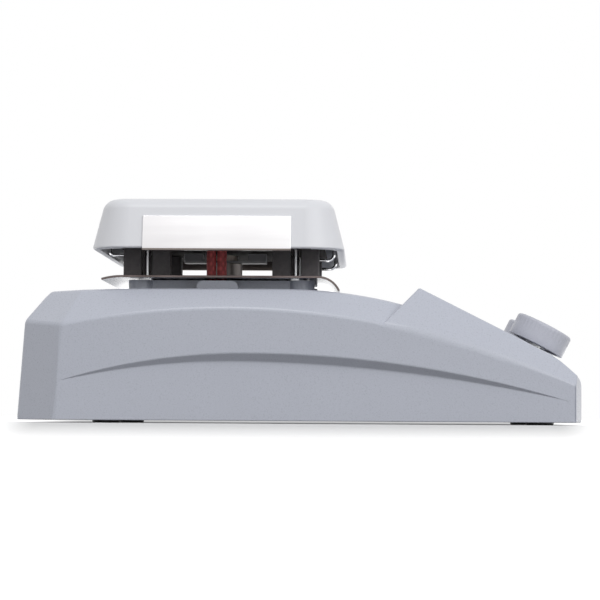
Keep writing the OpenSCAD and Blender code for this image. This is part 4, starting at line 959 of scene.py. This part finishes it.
def glazed_white(name, colour):
    """White glaze, with painted shade: inside the plate and between the blocks it is coloured near black,
    for the shade under the plate.
    """
    inner_r, ceiling, shade_half = 0.0192, 0.11, 0.047
    material, shader, place = start_finish(
        name, Specular_IOR_Level=0.5, Coat_Weight=0.2, Coat_Roughness=0.3)
    fine = noise(place, 900.0, 3.0)
    clouds = noise(place, 18.0, 2.0)
    dark = tuple(c * 0.97 for c in colour)
    glazed = ((clouds - 0.5) * 0.8 + (fine - 0.5) * 0.4 + 0.5).mix(dark, colour)
    # painted shade: points inside the plate and between the blocks take a near-black colour
    centred = place.vector("SUBTRACT", place, (plate_x * MM, 0.0, 0.0))
    out = place.vector("SUBTRACT", place.vector("ABSOLUTE", centred), (round_x * MM, round_y * MM, 1.0))
    out = place.vector("LENGTH", place.vector("MAXIMUM", out), output="Value")
    high = place.along("Z")
    within = place.math("LESS_THAN", out + lean_share * high, inner_r + lean_share * rim_z * MM)
    below = place.math("LESS_THAN", high, ceiling)
    between = place.math("LESS_THAN", place.math("ABSOLUTE", centred.along("X")), shade_half)
    inside = within * below * between
    feed(shader, Base_Color=inside.mix(glazed, fine.mix((0.03, 0.027, 0.026), (0.075, 0.066, 0.062))),
         Roughness=0.36 + 0.1 * fine, Normal=bump(clouds + 0.1 * fine, 0.03, 0.0004))
    return material


def plate_rings():
    """Rounded rectangles from the ceiling inside down to the rim and up over the outside."""
    steps, corner_steps = 10, 14
    lean = math.tan(plate_lean)
    profile = []
    for wall in (plate_wall, 0.0):
        r, h, top_r = round_r - wall, plate_tall - wall, plate_edge_r - wall
        centre = Vector((r - lean * (h - top_r - rim) - top_r / math.cos(plate_lean), h - top_r))
        turns = [(math.pi / 2.0 - plate_lean) * i / steps for i in range(steps + 1)]
        arc = [tuple(centre + top_r * heading(turn)) for turn in turns]
        if wall:
            profile += arc + [(r + lean * rim, 0.0)]
        else:
            profile += [(r - rim, 0.0), (r - 0.8, 0.12), (r - 0.35, 0.42), (r - 0.07, 0.85), (r, rim)]
            profile += arc[::-1]
    rings = []
    for r, z in profile:
        ring = []
        for quarter, (x, y) in enumerate(((1.0, 1.0), (-1.0, 1.0), (-1.0, -1.0), (1.0, -1.0))):
            middle = Vector((plate_x + x * round_x, y * round_y, rim_z + z))
            for i in range(corner_steps + 1):
                a = math.pi / 2.0 * (quarter + i / corner_steps)
                ring.append(middle + r * Vector((math.cos(a), math.sin(a), 0.0)))
        rings.append(ring)
    return rings


glaze = glazed_white("white_glaze", (0.68, 0.688, 0.722))
plate = skin("ceramic_plate", plate_rings())
smooth(plate)
dress(plate, glaze, "white_ceramic", "base", "top_plate")
finish(glaze, "lead_terminal")


# Side panels
# A bright steel sheet is hooked over the plate's rim on each side, folded under it and up
# inside, and lies close on the drafted side. Heat has stained the hook brown.
bright, bright_shader, bright_place = start_finish("bright_steel", Metallic=1.0)
rolling = noise(stretch(bright_place, 9.0, 9.0, 160.0), 1.0, 3.0, 0.65)
streaks = noise(stretch(bright_place, 26.0, 26.0, 4.0), 1.0, 2.0)
sheet_y, sheet_low, shade_from, shade_to, deepest_shade = 0.088, 0.0869, -0.078, -0.046, 0.55
high = bright_place.along("Z")
outer = high.math("ABSOLUTE", bright_place.along("Y")) + lean_share * high
sheet_front = (high.math("GREATER_THAN", outer, sheet_y + lean_share * rim_z * MM)
               * high.math("GREATER_THAN", high, sheet_low))
# painted shade: the sheet's colour is darkened towards its left end
dull = bright_place.along("X").span(shade_from, shade_to, deepest_shade, 0.0)
lustre = (rolling - 0.5) * 0.9 + (streaks - 0.5) * 0.9 + 0.5 - dull
polish = lustre.mix((0.71, 0.697, 0.707), (0.84, 0.835, 0.84))
stain = rolling.mix((0.14, 0.12, 0.11), (0.24, 0.21, 0.195))
feed(bright_shader, Base_Color=sheet_front.mix(stain, polish),
     Roughness=0.27 + 0.06 * rolling, Normal=bump(rolling, 0.01, 0.0001))
dress(soften("left_trim", "left_side_panel", 0.2, 2), bright, "stainless", "base", "left_trim")
dress(soften("right_trim", "right_side_panel", 0.2, 2), bright, "stainless", "base", "right_trim")
